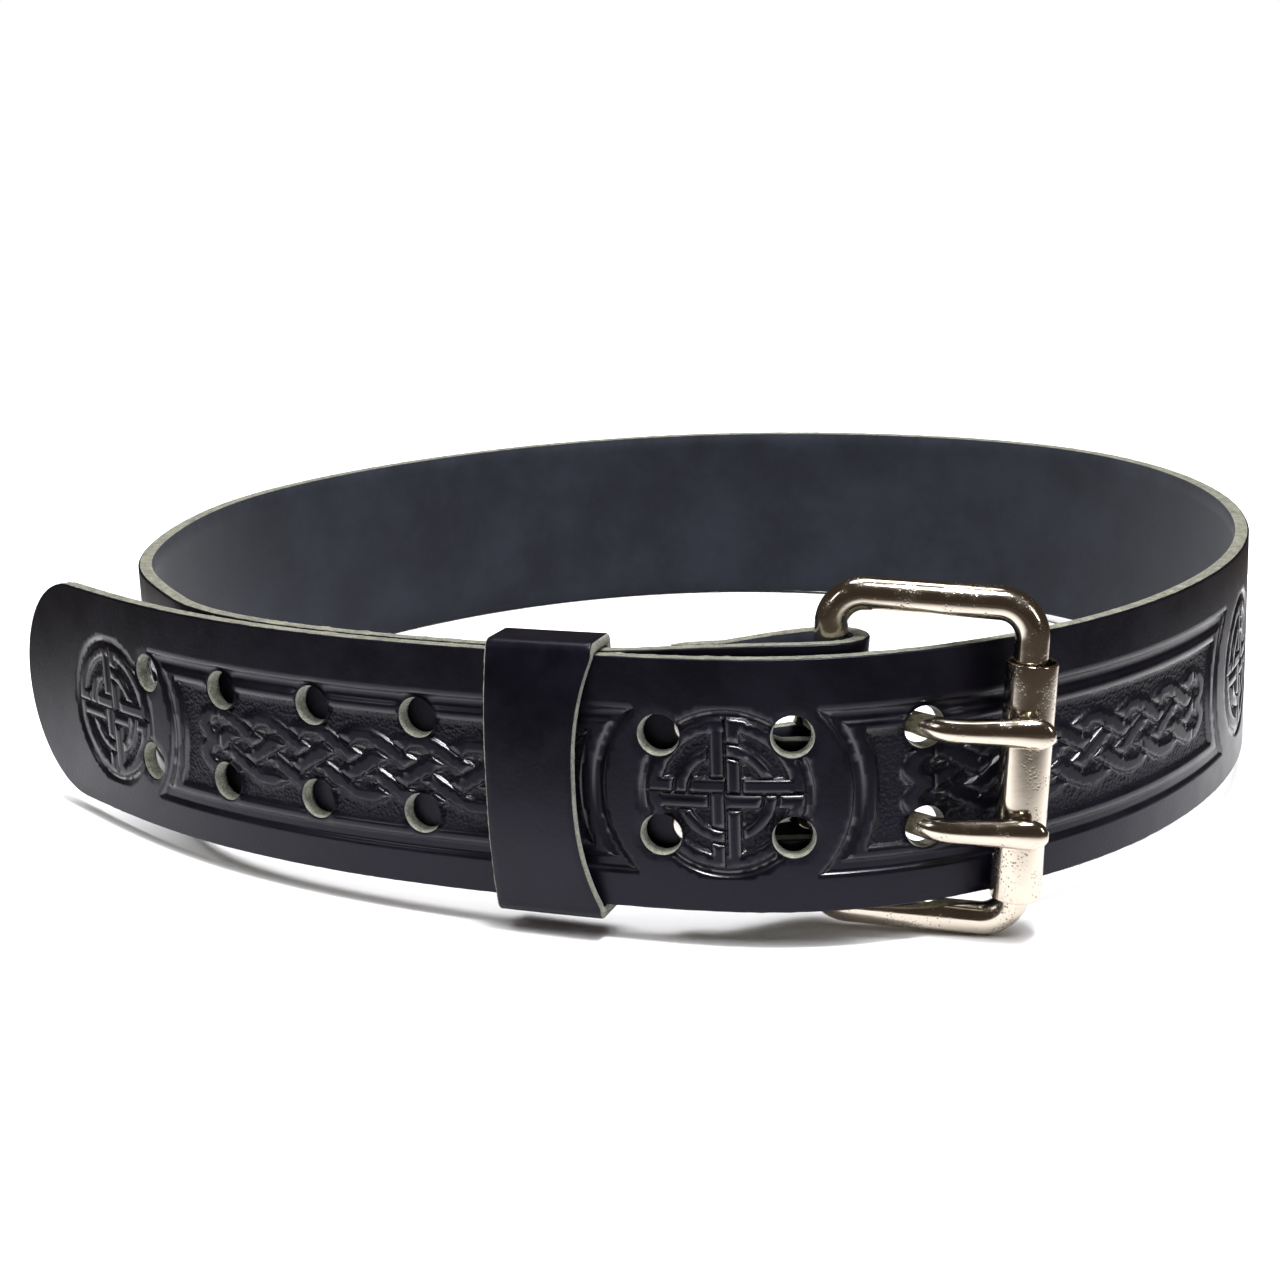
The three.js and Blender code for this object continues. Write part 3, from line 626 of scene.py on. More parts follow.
def triangulate(outline, loops, inside, holes):
    """Triangles over the outline without the holes, and where the outline's and loops' points went."""
    points = np.vstack([outline, *loops, inside])
    edges, spans, first = [], [], 0
    for loop in [outline, *loops]:
        index = list(range(first, first + len(loop)))
        edges += list(zip(index, index[1:] + index[:1]))
        spans.append(index)
        first += len(loop)
    scaled = [Vector((x, y)) for x, y in points / MM]
    made = geometry.delaunay_2d_cdt(scaled, edges, [], 0, 1e-5)
    flat = np.array([(v.x, v.y) for v in made[0]]) * MM
    where = {source: i for i, sources in enumerate(made[3]) for source in sources}
    faces = np.array([face for face in made[2]])
    middle = flat[faces].mean(axis=1)
    keep = np.ones(len(faces), bool)
    for hole, loop in zip(holes, loops):
        radius = np.max(loop[:, 1]) - hole["at"][1]
        keep &= from_hole(middle, hole) > radius * HOLE_CHORD_SHARE
    return flat, faces[keep], [[where[i] for i in span] for span in spans]


def grain_depth(length, height, holes):
    """How deep the grain face lies, with its dips round the holes, and where it is pebbled ground."""
    depth, pebbles = embossing(length, height)
    for hole in holes[:2 * HOLE_PAIRS]:
        off = np.hypot(length - hole["at"][0], height - hole["at"][1]) - hole["radius"]
        depth = depth + HOLE_LIP_DIP * np.exp(-(off / HOLE_LIP_REACH) ** 2)
    return depth, pebbles


def grain_normals(length, height, holes):
    """Directions out of the embossed face, so that its steps catch the light crisply, and how steep it is."""
    outward = strap_run.read(strap_outward, length)
    outward /= np.linalg.norm(outward, axis=1, keepdims=True)
    ahead = np.column_stack([-outward[:, 1], outward[:, 0]])
    step = 0.05 * MM
    along = grain_depth(length + step, height, holes)[0] - grain_depth(length - step, height, holes)[0]
    up = grain_depth(length, height + step, holes)[0] - grain_depth(length, height - step, holes)[0]
    steepness = np.hypot(along, up) / (2 * step)
    plan = outward + ahead * (along / (2 * step))[:, None]
    normals = np.column_stack([plan, up / (2 * step)]) @ np.array(rest_place)[:3, :3].T
    return normals / np.linalg.norm(normals, axis=1, keepdims=True), steepness


def grain_points(holes):
    """Points for the grain sheet: fine along the embossed steps, plain cells elsewhere."""
    low, high = MOTIF_HEIGHT - MOTIF_REACH, MOTIF_HEIGHT + MOTIF_REACH
    end = strap_run.length
    front_relief = relief_points(0, FINE_UNTIL, low, high, FRONT_SPACING)
    back_relief = relief_points(FINE_UNTIL, join_start, low, high, BACK_SPACING)
    front = clear_of(grid(0, FINE_UNTIL, low, high, FRONT_CELL), front_relief, 0.4 * MM)
    back = clear_of(grid(FINE_UNTIL, join_start, low, high, BACK_CELL), back_relief, 0.6 * MM)
    fold = grid(fold_start - FOLD_MARGIN, return_start + FOLD_MARGIN, 0, STRAP_WIDTH, 1.1 * MM, 3 * MM)
    zones = [
        (front_relief, 0.25 * MM),
        (back_relief, 0.4 * MM),
        (front, 0.35 * MM),
        (back, 0.4 * MM),
        (grid(join_start, end, low, high, PLAIN_CELL), 0.4 * MM),
        (grid(0, end, 0, low, PLAIN_CELL, 2.2 * MM), 0.6 * MM),
        (grid(0, end, high, STRAP_WIDTH, PLAIN_CELL, 2.2 * MM), 0.6 * MM),
        (fold, 0.6 * MM),
    ]
    grow = lambda hole: hole["lip"]
    return np.vstack([inner_points(points, EDGE_ROUNDING, holes, room, grow) for points, room in zones])


def flesh_points(holes):
    """Points for the flesh sheet: large cells, and finer ones along the fold."""
    cells = [grid(0, fold_start - FOLD_ZONE, 0, STRAP_WIDTH, FLESH_CELL),
             grid(fold_start - FOLD_MARGIN, strap_run.length, 0, STRAP_WIDTH, 1.3 * MM, FLESH_CELL)]
    return inner_points(np.vstack(cells), 0.1 * MM, holes, 1.0 * MM, lambda hole: 0.0)


class Sheets:
    """The strap's mesh as it grows: points with their flat places and masks, and faces with materials."""

    def __init__(self):
        self.points, self.flats, self.masks, self.faces, self.slots = [], [], [], [], []
        self.count = 0

    def add_points(self, points, flat, masks=None):
        """Adds points and gives their numbers."""
        self.points.append(points)
        self.flats.append(flat)
        self.masks.append(np.zeros((len(flat), 2)) if masks is None else masks)
        self.count += len(flat)
        return np.arange(self.count - len(flat), self.count)

    def add_faces(self, faces, slot):
        self.faces.append(faces)
        self.slots.append(np.full(len(faces), slot))

    def add_band(self, before, after, sign, slot):
        """Triangles between two loops of points."""
        before_next, after_next = np.roll(before, -1), np.roll(after, -1)
        band = np.concatenate([np.stack([before, after, after_next], 1),
                               np.stack([before, after_next, before_next], 1)])
        self.add_faces(band if sign > 0 else band[:, ::-1], slot)


# Rows of the walls between the sheets: sink is a share of the thickness, and inset is in millimetres
WALL_ROWS = [
    dict(sink=0.05, inset=0.14, open=0.4, raw=False),
    dict(sink=0.13, inset=0.0, open=0.0, raw=False),
    dict(sink=0.35, inset=-0.02, open=0.0, raw=True),
    dict(sink=0.6, inset=-0.02, open=0.0, raw=True),
    dict(sink=0.82, inset=0.0, open=0.0, raw=True),
    dict(sink=1.0, inset=0.15, open=0.0, raw=True),
]
GRAIN_SLOT, FLESH_SLOT, PUNCHED_SLOT, OUTER_SLOT = range(4)


def wall_row(wall, hole, chance):
    """One row of a wall, frayed a little: round a hole, or round the strap's outline."""
    if hole is None:
        flat = strap_outline(wall["inset"] * MM)
    else:
        flat = hole_loop(hole, wall["open"] * hole["lip"] - wall["sink"] * hole["taper"])
    rough = chance.normal(0, EDGE_FUZZ, len(flat)) * (1 if wall["raw"] else 0.3)
    half = np.interp(flat[:, 0], strap_run.distance, strap_half)
    points = strap_points(flat[:, 0], flat[:, 1], 1, 2 * half * wall["sink"] + rough * 0.6)
    if hole is None:
        points[:, 2] += rough
    return points, flat


def strap_mesh():
    """Grain sheet, flesh sheet and the raw walls between them."""
    holes = hole_list()
    loops = [hole_loop(hole, hole["lip"]) for hole in holes]
    grain = triangulate(strap_outline(EDGE_ROUNDING), loops, grain_points(holes), holes)
    loops = [hole_loop(hole, -hole["taper"]) for hole in holes]
    flesh = triangulate(strap_outline(0.15 * MM), loops, flesh_points(holes), holes)
    sheets = Sheets()
    length, height = grain[0].T
    depth, pebbles = grain_depth(length, height, holes)
    normals, steepness = grain_normals(length, height, holes)
    masks = np.column_stack([pebbles, np.clip(steepness, 0, 1)])
    sheets.add_points(strap_points(length, height, 1, depth), grain[0], masks)
    sheets.add_faces(grain[1], GRAIN_SLOT)
    flesh_numbers = sheets.add_points(strap_points(*flesh[0].T, -1), flesh[0])
    sheets.add_faces(flesh[1][:, ::-1] + flesh_numbers[0], FLESH_SLOT)

    chance = np.random.default_rng(7)
    for number, hole in enumerate([None, *holes]):
        sign, raw_slot = (1, OUTER_SLOT) if hole is None else (-1, PUNCHED_SLOT)
        before = np.array(grain[2][number])
        for wall in WALL_ROWS:
            if wall is WALL_ROWS[-1]:
                after = flesh_numbers[flesh[2][number]]
            else:
                after = sheets.add_points(*wall_row(wall, hole, chance))
            sheets.add_band(before, after, sign, raw_slot if wall["raw"] else GRAIN_SLOT)
            before = after
    plain = np.zeros((sheets.count - len(normals), 3))
    return sheets, np.vstack([normals, plain])


def new_mesh(name, points, faces, materials, slots=None, flats=None, masks=None):
    """A smooth-shaded mesh object, with its materials and, where given, its flat pattern and masks."""
    mesh = bpy.data.meshes.new(name)
    faces = faces.tolist() if isinstance(faces, np.ndarray) else faces
    mesh.from_pydata(np.asarray(points).tolist(), [], faces)
    for material in materials:
        mesh.materials.append(material)
    mesh.polygons.foreach_set("use_smooth", np.ones(len(mesh.polygons), bool))
    if slots is not None:
        mesh.polygons.foreach_set("material_index", np.asarray(slots, np.int32))
    if flats is not None:
        corner = np.empty(len(mesh.loops), np.int32)
        mesh.loops.foreach_get("vertex_index", corner)
        layer = mesh.uv_layers.new(name="flat_strap")
        layer.data.foreach_set("uv", np.asarray(flats)[corner].astype(np.float32).ravel())
    if masks is not None:
        for label, column in zip(("pebbled", "burnished"), np.asarray(masks, np.float32).T):
            mask = mesh.attributes.new(label, "FLOAT", "POINT")
            mask.data.foreach_set("value", np.ascontiguousarray(column))
    mesh.update()
    piece = bpy.data.objects.new(name, mesh)
    bpy.context.scene.collection.objects.link(piece)
    return piece


class Nodes:
    """A short way to write the nodes of a material or a node group."""

    def __init__(self, tree):
        self.tree = tree

    def add(self, kind, inputs=None, **settings):
        node = self.tree.nodes.new(kind)
        for name, value in settings.items():
            setattr(node, name, value)
        for name, value in (inputs or {}).items():
            socket = node.inputs[name]
            if isinstance(value, bpy.types.NodeSocket):
                self.tree.links.new(value, socket)
            else:
                socket.default_value = value
        return node

    def math(self, operation, a, b=0.0, clamp=False):
        return self.add("ShaderNodeMath", {0: a, 1: b}, operation=operation, use_clamp=clamp).outputs[0]

    def weighted(self, *terms):
        """The sum of some values, each times its weight. A term with no weight is added as it is."""
        values = [self.math("MULTIPLY", *term) if len(term) > 1 else term[0] for term in terms]
        total = values[0]
        for value in values[1:]:
            total = self.math("ADD", total, value)
        return total

    def blend(self, share, a, b):
        node = self.add("ShaderNodeMix", data_type="RGBA")
        for socket, value in ((node.inputs[0], share), (node.inputs[6], a), (node.inputs[7], b)):
            if isinstance(value, bpy.types.NodeSocket):
                self.tree.links.new(value, socket)
            else:
                socket.default_value = value
        return node.outputs[2]

    def noise(self, place, scale, detail=2.0, roughness=0.5):
        settings = {"Vector": place, "Scale": scale, "Detail": detail, "Roughness": roughness}
        return self.add("ShaderNodeTexNoise", settings).outputs["Fac"]

    def ramp(self, value, low, high):
        return self.add("ShaderNodeMapRange", {"Value": value, "From Min": low, "From Max": high},
                        interpolation_type="SMOOTHSTEP").outputs["Result"]


def effect_group(name, inputs, outputs):
    """An empty node group with named sockets, and the helper that fills it."""
    group = bpy.data.node_groups.new(name, "ShaderNodeTree")
    for label, value in inputs.items():
        socket = group.interface.new_socket(label, in_out="INPUT", socket_type="NodeSocketFloat")
        socket.default_value = value
    for label in outputs:
        group.interface.new_socket(label, in_out="OUTPUT", socket_type="NodeSocketFloat")
    nodes = Nodes(group)
    return group, nodes, nodes.add("NodeGroupInput").outputs, nodes.add("NodeGroupOutput")


def leather_grain():
    """Fine hair pores, soft creases and broad unevenness of a smooth hide, as heights and a mottling mask."""
    group, nodes, given, made = effect_group(
        "leather_grain", {"Pore size": 0.0009, "Crease size": 0.012}, ["Height", "Mottling"])
    place = nodes.add("ShaderNodeTexCoord").outputs["Object"]
    pore_scale = nodes.math("DIVIDE", 1.0, given["Pore size"])
    cells = nodes.add("ShaderNodeTexVoronoi", {"Vector": place, "Scale": pore_scale}, feature="SMOOTH_F1")
    pores = cells.outputs["Distance"]
    fine = nodes.noise(place, pore_scale, 4.0, 0.6)
    creases = nodes.noise(place, nodes.math("DIVIDE", 1.0, given["Crease size"]), 5.0, 0.62)
    height = nodes.weighted((pores, 0.35), (fine, 0.45), (creases, 0.6))
    nodes.tree.links.new(height, made.inputs["Height"])
    nodes.tree.links.new(nodes.ramp(creases, 0.3, 0.7), made.inputs["Mottling"])
    return group


def raw_fibres():
    """Cut or split leather fibres: short strands of light and dark, as a height and a mask."""
    group, nodes, given, made = effect_group("raw_fibres", {"Fibre size": 0.0005}, ["Height", "Strands"])
    place = nodes.add("ShaderNodeTexCoord").outputs["Object"]
    scale = nodes.math("DIVIDE", 1.0, given["Fibre size"])
    strands = nodes.noise(place, scale, 5.0, 0.7)
    broad = nodes.noise(place, nodes.math("MULTIPLY", scale, 0.18), 3.0, 0.6)
    nodes.tree.links.new(nodes.weighted((strands,), (broad, 0.7)), made.inputs["Height"])
    mixed = nodes.weighted((strands, 0.65), (broad, 0.35))
    nodes.tree.links.new(nodes.ramp(mixed, 0.36, 0.66), made.inputs["Strands"])
    return group


grain_effect = leather_grain()
fibre_effect = raw_fibres()


def new_material(name, settings):
    """A material with one Principled shader whose plain values are set on its own sockets."""
    material = bpy.data.materials.new(name)
    material.use_nodes = True
    shader = material.node_tree.nodes["Principled BSDF"]
    for label, value in settings.items():
        shader.inputs[label].default_value = value
    return material, Nodes(material.node_tree), shader


def place_effect(nodes, group, **values):
    node = nodes.add("ShaderNodeGroup", node_tree=group)
    for label, value in values.items():
        node.inputs[label.replace("_", " ")].default_value = value
    return node.outputs


def grain_leather(name, dark, light, embossed):
    """Black grain leather with a waxed sheen. Embossed, its ground is pebbled and its steps are burnished."""
    settings = {"Specular IOR Level": 0.20, "Specular Tint": (0.84, 0.82, 1.0, 1)}
    material, nodes, shader = new_material(name, settings)
    hide = place_effect(nodes, grain_effect, Pore_size=0.0008, Crease_size=0.011)
    links = nodes.tree.links
    links.new(nodes.blend(hide["Mottling"], dark, light), shader.inputs["Base Color"])
    rough = nodes.weighted((hide["Mottling"], 0.08), (0.30,))
    bump = nodes.add("ShaderNodeBump", {"Height": hide["Height"], "Strength": 0.28, "Distance": 0.00022})
    if embossed:
        ground = nodes.add("ShaderNodeAttribute", attribute_name="pebbled").outputs["Fac"]
        place = nodes.add("ShaderNodeTexCoord").outputs["Object"]
        pebbles = nodes.add("ShaderNodeTexVoronoi", {"Vector": place, "Scale": 1150.0}).outputs["Distance"]
        height = nodes.math("MULTIPLY", pebbles, ground)
        bump = nodes.add("ShaderNodeBump", {"Height": height, "Strength": 0.8, "Distance": 0.00045,
                                            "Normal": bump.outputs["Normal"]})
        rough = nodes.weighted((rough,), (ground, 0.18))
        burnished = nodes.add("ShaderNodeAttribute", attribute_name="burnished").outputs["Fac"]
        steps = nodes.ramp(burnished, 0.35, 1.0)
        shader.inputs["Coat Roughness"].default_value = 0.24
        links.new(steps, shader.inputs["Coat Weight"])
    links.new(rough, shader.inputs["Roughness"])
    links.new(bump.outputs["Normal"], shader.inputs["Normal"])
    return material


def flesh_leather():
    """The dyed flesh side: matt, blue-grey black, with a short nap and faint clouds."""
    settings = {"Sheen Weight": 0.07, "Sheen Roughness": 0.5, "Specular IOR Level": 0.15}
    material, nodes, shader = new_material("flesh_side", settings)
    hide = place_effect(nodes, grain_effect, Pore_size=0.0006, Crease_size=0.03)
    links = nodes.tree.links
    colour = nodes.blend(hide["Mottling"], (0.006, 0.0072, 0.0115, 1), (0.013, 0.0155, 0.0235, 1))
    links.new(colour, shader.inputs["Base Color"])
    links.new(nodes.weighted((hide["Mottling"], 0.08), (0.68,)), shader.inputs["Roughness"])
    bump = nodes.add("ShaderNodeBump", {"Height": hide["Height"], "Strength": 0.35, "Distance": 0.0002})
    links.new(bump.outputs["Normal"], shader.inputs["Normal"])
    return material


def raw_edge(name, dark, light):
    """Undyed cut edge: grey-green fibres, darker where the dye has run in."""
    settings = {"Roughness": 0.92, "Sheen Weight": 0.3, "Specular IOR Level": 0.2}
    material, nodes, shader = new_material(name, settings)
    fibres = place_effect(nodes, fibre_effect, Fibre_size=0.00045)
    links = nodes.tree.links
    colour = nodes.blend(fibres["Strands"], dark, light)
    links.new(colour, shader.inputs["Base Color"])
    bump = nodes.add("ShaderNodeBump", {"Height": fibres["Height"], "Strength": 0.9, "Distance": 0.0004})
    links.new(bump.outputs["Normal"], shader.inputs["Normal"])
    return material


BLACK_DYE = (0.0018, 0.0017, 0.0034, 1)
BLACK_DYE_WORN = (0.0040, 0.0038, 0.0072, 1)
strap_grain = grain_leather("strap_grain", BLACK_DYE, BLACK_DYE_WORN, embossed=True)
flesh_side = flesh_leather()
punched_edges = raw_edge("punched_edge", (0.11, 0.115, 0.09, 1), (0.36, 0.37, 0.30, 1))
outer_edges = raw_edge("outer_edge", (0.045, 0.045, 0.034, 1), (0.22, 0.22, 0.165, 1))

sheets, normals = strap_mesh()
strap = new_mesh("strap_leather", np.vstack(sheets.points), np.vstack(sheets.faces),
                 [strap_grain, flesh_side, punched_edges, outer_edges],
                 np.concatenate(sheets.slots), np.vstack(sheets.flats), np.vstack(sheets.masks))
strap.data.normals_split_custom_set_from_vertices(normals.tolist())
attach(strap, "belt")
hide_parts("strap")


# The keeper
# A loop of the same leather in a lighter cut. It bulges over the free end and holds it to the layer behind.
KEEPER_THICKNESS = 2.6 * MM
KEEPER_BULGE = 3 * MM
KEEPER_BULGE_POWER = 2.5
KEEPER_HEADROOM = 0.5 * MM
KEEPER_WAIST = 0.8 * MM
KEEPER_FLARE = 3.6 * MM
KEEPER_EDGE_ROUNDING = 0.35 * MM


def keeper_outline(station, out):
    """The keeper's opening at a station, moved outwards by a distance, as inward shift and height."""
    front = -(half_thickness + CLEARANCE)
    back = float(layer_offset(np.array(station))) + half_thickness + CLEARANCE
    top, bottom = STRAP_WIDTH + KEEPER_HEADROOM, -KEEPER_HEADROOM
    share = np.linspace(0, 1, 49)
    bulge = KEEPER_BULGE * (1 - np.abs(2 * share - 1) ** KEEPER_BULGE_POWER)
    corner = lambda x, z, start: [(x, z, math.radians(start + turn)) for turn in range(0, 91, 15)]
    spots = corner(front, top, 90)
    spots += [(front - b, top + (bottom - top) * s, math.pi) for s, b in list(zip(share, bulge))[1:-1]]
    spots += corner(front, bottom, 180)
    spots += corner(back, bottom, 270)
    spots += [(back, bottom + (top - bottom) * s, 0.0) for s in np.linspace(0, 1, 14)[1:-1]]
    spots += corner(back, top, 0)
    return np.array([(x + math.cos(a) * out, z + math.sin(a) * out) for x, z, a in spots])


def keeper_loop(station, out):
    """One ring of points round the keeper. Towards its far edge the loop flares at the top and bottom."""
    outline = keeper_outline(station, out)
    from_middle = np.clip(np.abs(outline[:, 1] / STRAP_WIDTH * 2 - 1), 0, 1)
    in_front = outline[:, 0] < 0
    flare = np.where(in_front, (KEEPER_FLARE + KEEPER_WAIST) * from_middle**2.4 - KEEPER_WAIST, KEEPER_FLARE)
    stations = station + flare * smooth((station - KEEPER_START) / KEEPER_WIDTH)
    centre, outward = tongue.at(stations)
    plan = centre + outward * -outline[:, :1]
    return to_rest(np.column_stack([plan, outline[:, 1]]))


# Rows of the raw edge, as shares of the thickness
KEEPER_EDGE_ROWS = (0.75, 0.5, 0.25)
KEEPER_EDGE_FUZZ = 0.05 * MM


def keeper_mesh():
    """Rings of the keeper round its section: grain face, far edge, flesh face, near edge."""
    thick, edge = KEEPER_THICKNESS, KEEPER_EDGE_ROUNDING
    near, far = KEEPER_START, keeper_end
    face = [(s, thick, 0) for s in np.linspace(near + edge, far - edge, 15)]
    far_edge = [(far - edge * 0.3, thick - edge * 0.35, 0)]
    far_edge += [(far, thick * share, 2) for share in KEEPER_EDGE_ROWS]
    inside = [(s, 0.02 * MM, 1) for s in np.linspace(far - edge * 0.5, near + edge * 0.5, 7)]
    near_edge = [(near, thick * share, 2) for share in KEEPER_EDGE_ROWS[::-1]]
    near_edge.append((near + edge * 0.3, thick - edge * 0.35, 2))
    rings = face + far_edge + inside + near_edge
    chance = np.random.default_rng(11)
    points = []
    for station, out, slot in rings:
        loop = keeper_loop(station, out)
        if slot == 2:
            loop = loop + chance.normal(0, KEEPER_EDGE_FUZZ, loop.shape)
        points.append(loop)
    count = len(points[0])
    faces, slots = [], []
    for i in range(len(rings)):
        n = (i + 1) % len(rings)
        for j in range(count):
            k = (j + 1) % count
            faces.append((i * count + j, i * count + k, n * count + k, n * count + j))
            slots.append(2 if 2 in (rings[i][2], rings[n][2]) else rings[i][2])
    return np.vstack(points), faces, slots


keeper_grain = grain_leather("keeper_grain", BLACK_DYE, BLACK_DYE_WORN, embossed=False)
points, faces, slots = keeper_mesh()
keeper = new_mesh("keeper_leather", points, faces, [keeper_grain, flesh_side, outer_edges], slots)
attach(keeper, "belt")
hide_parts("keeper")


# The rivets
# Two flat-headed rivets of plated metal close the fold. They show as crescents through the holes in front.
RIVET_HEAD_FLAT = 6.6 * MM
RIVET_SHANK_DIAMETER = 3.4 * MM


def worn_plate():
    """Worn nickel plate: pits, dull patches and handling marks, as a height, a dullness and a stain mask."""
    group, nodes, given, made = effect_group(
        "worn_plate", {"Pit size": 0.0007, "Pit amount": 0.12, "Patch size": 0.006},
        ["Height", "Dullness", "Stain"])
    place = nodes.add("ShaderNodeTexCoord").outputs["Object"]
    pit_scale = nodes.math("DIVIDE", 1.0, given["Pit size"])
    spots = nodes.add("ShaderNodeTexVoronoi", {"Vector": place, "Scale": pit_scale}).outputs["Distance"]
    patches = nodes.noise(place, nodes.math("DIVIDE", 1.0, given["Patch size"]), 6.0, 0.65)
    pit_reach = nodes.math("MULTIPLY", given["Pit amount"], 2.2)
    near = nodes.math("SUBTRACT", 1.0, nodes.math("DIVIDE", spots, pit_reach), True)
    chosen = nodes.ramp(patches, 0.48, 0.62)
    pits = nodes.math("MULTIPLY", near, chosen)
    ripple = nodes.noise(place, 260.0, 2.0, 0.5)
    dents = nodes.math("SUBTRACT", nodes.math("MULTIPLY", ripple, 0.5), pits)
    nodes.tree.links.new(dents, made.inputs["Height"])
    nodes.tree.links.new(nodes.ramp(patches, 0.42, 0.75), made.inputs["Dullness"])
    nodes.tree.links.new(pits, made.inputs["Stain"])
    return group


plate_effect = worn_plate()


def nickel(name, colour, stain, smoothest, pit_amount):
    """Nickel plate, rougher in its dull patches and pits."""
    material, nodes, shader = new_material(name, {"Metallic": 1.0})
    wear = place_effect(nodes, plate_effect, Pit_amount=pit_amount)
    links = nodes.tree.links
    links.new(nodes.blend(wear["Stain"], colour, stain), shader.inputs["Base Color"])
    rough = nodes.weighted((wear["Dullness"], 0.13), (smoothest,), (wear["Stain"], 0.3))
    links.new(rough, shader.inputs["Roughness"])
    bump = nodes.add("ShaderNodeBump", {"Height": wear["Height"], "Strength": 0.3, "Distance": 0.00018})
    links.new(bump.outputs["Normal"], shader.inputs["Normal"])
    return material


rivet_nickel = nickel("rivet_nickel", (0.60, 0.57, 0.53, 1), (0.20, 0.17, 0.13, 1), 0.20, 0.10)


def turned(profile, sides):
    """Points and quads of (radius, height) pairs turned round Z, open where they meet the axis."""
    angles = 2 * math.pi * np.arange(sides) / sides
    points = [(r * math.cos(a), r * math.sin(a), h) for r, h in profile for a in angles]
    faces = []
    for i in range(len(profile) - 1):
        for j in range(sides):
            k = (j + 1) % sides
            faces.append((i * sides + j, i * sides + k, (i + 1) * sides + k, (i + 1) * sides + j))
    return points, faces


def capped(points, faces, sides, rows):
    """Closes a turned shape at its first and last row."""
    return points, faces + [tuple(range(sides))[::-1], tuple(range((rows - 1) * sides, rows * sides))]


def rivet_profile():
    """Half the rivet's section: a flat head with a rounded rim at each end of the shank."""
    head, flat, shank = RIVET_HEAD_DIAMETER / 2, RIVET_HEAD_FLAT / 2, RIVET_SHANK_DIAMETER / 2
    front = half_thickness + RIVET_SEAT
    back = -(half_thickness + float(return_gap(np.array(rivet_station))) + STRAP_THICKNESS + RIVET_SEAT)
    rise_of = lambda t: RIVET_HEAD_HEIGHT * math.sin(t * math.pi / 2)
    dome = [(head - (head - flat) * (1 - math.cos(t * math.pi / 2)), rise_of(t))
            for t in np.linspace(0, 1, 7)]
    lower = [(r, back - h) for r, h in dome[::-1]]
    upper = [(r, front + h) for r, h in dome]
    return [(0.3 * MM, back - RIVET_HEAD_HEIGHT)] + lower + [(shank, back), (shank, front)] + upper + [
        (0.3 * MM, front + RIVET_HEAD_HEIGHT)]


def make_rivet(name, node, row):
    """A rivet through the fold, square to the strap."""
    profile = rivet_profile()
    points, faces = capped(*turned(profile, 40), 40, len(profile))
    length = float(length_on_lane(rivet_station))
    at = strap_points(np.array([length]), np.array([row]), 1, np.array([half_thickness]))[0]
    out = strap_points(np.array([length]), np.array([row]), 1)[0] - at
    turn_up = Vector(out).to_track_quat("Z", "X").to_matrix()
    placed = [turn_up @ Vector(point) + Vector(at) for point in points]
    rivet = new_mesh(name, [tuple(point) for point in placed], faces, [rivet_nickel])
    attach(rivet, "belt")
    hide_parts(node)


for level, row in zip(("lower", "upper"), hole_rows):
    make_rivet("rivet_" + level + "_plated", "rivet_" + level, row)


# The buckle frame
# A rounded rectangle bent from thick wire and nickel plated. The heel bar sits in the strap's fold.
WIRE_SIDES = 32
buckle_nickel = nickel("buckle_nickel", (0.56, 0.50, 0.42, 1), (0.10, 0.075, 0.05, 1), 0.13, 0.2)


def frame_line():
    """The wire's middle round the frame, with the direction out of the rectangle, in the buckle's frame."""
    half = (frame_height - WIRE_DIAMETER) / 2
    r = FRAME_CORNER_RADIUS
    corners = [(bar_spacing - r, half - r, 0), (r, half - r, 90),
               (r, r - half, 180), (bar_spacing - r, r - half, 270)]
    line = []
    for x, z, start in corners:
        for angle in np.radians(np.linspace(start, start + 90, 16)):
            out = np.array([math.cos(angle), 0, math.sin(angle)])
            line.append((np.array([x, 0, z]) + out * r, out))
    return line


def swept(line, half_across, half_deep, sides, closed):
    """A tube of oval section along a line of places and sideways directions, in the buckle's frame."""
    count = len(line)
    points = []
    for i, (centre, across) in enumerate(line):
        wide = half_across[i] if np.ndim(half_across) else half_across
        deep = half_deep[i] if np.ndim(half_deep) else half_deep
        for angle in 2 * math.pi * np.arange(sides) / sides:
            points.append(centre + across[0] * math.cos(angle) * wide + across[1] * math.sin(angle) * deep)
    faces = []
    for i in range(count if closed else count - 1):
        n = (i + 1) % count
        for j in range(sides):
            k = (j + 1) % sides
            faces.append((i * sides + j, i * sides + k, n * sides + k, n * sides + j))
    if not closed:
        faces += [tuple(range(sides))[::-1], tuple(range((count - 1) * sides, count * sides))]
    return points, faces


def in_buckle(points):
    """Points of the buckle's own frame, moved to where the belt stands."""
    matrix = np.array(rest_place @ buckle_place)
    return np.asarray(points) @ matrix[:3, :3].T + matrix[:3, 3]


wire = [(centre, (out, np.array([0, 1, 0]))) for centre, out in frame_line()]
points, faces = swept(wire, half_wire, half_wire, WIRE_SIDES, closed=True)
buckle = new_mesh("buckle_frame_plated", in_buckle(points), faces, [buckle_nickel])
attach(buckle, "belt")
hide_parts("buckle_frame")


# The roller
# A tube rolled from sheet on the frame's outer bar, with softened ends. It turns as the strap is pulled.
ROLLER_SIDES = 64
ROLLER_END_ROUNDING = 0.4 * MM

roller_bore = half_wire + ROLLER_PLAY
roller_half = frame_height / 2 - WIRE_DIAMETER - ROLLER_END_ROOM


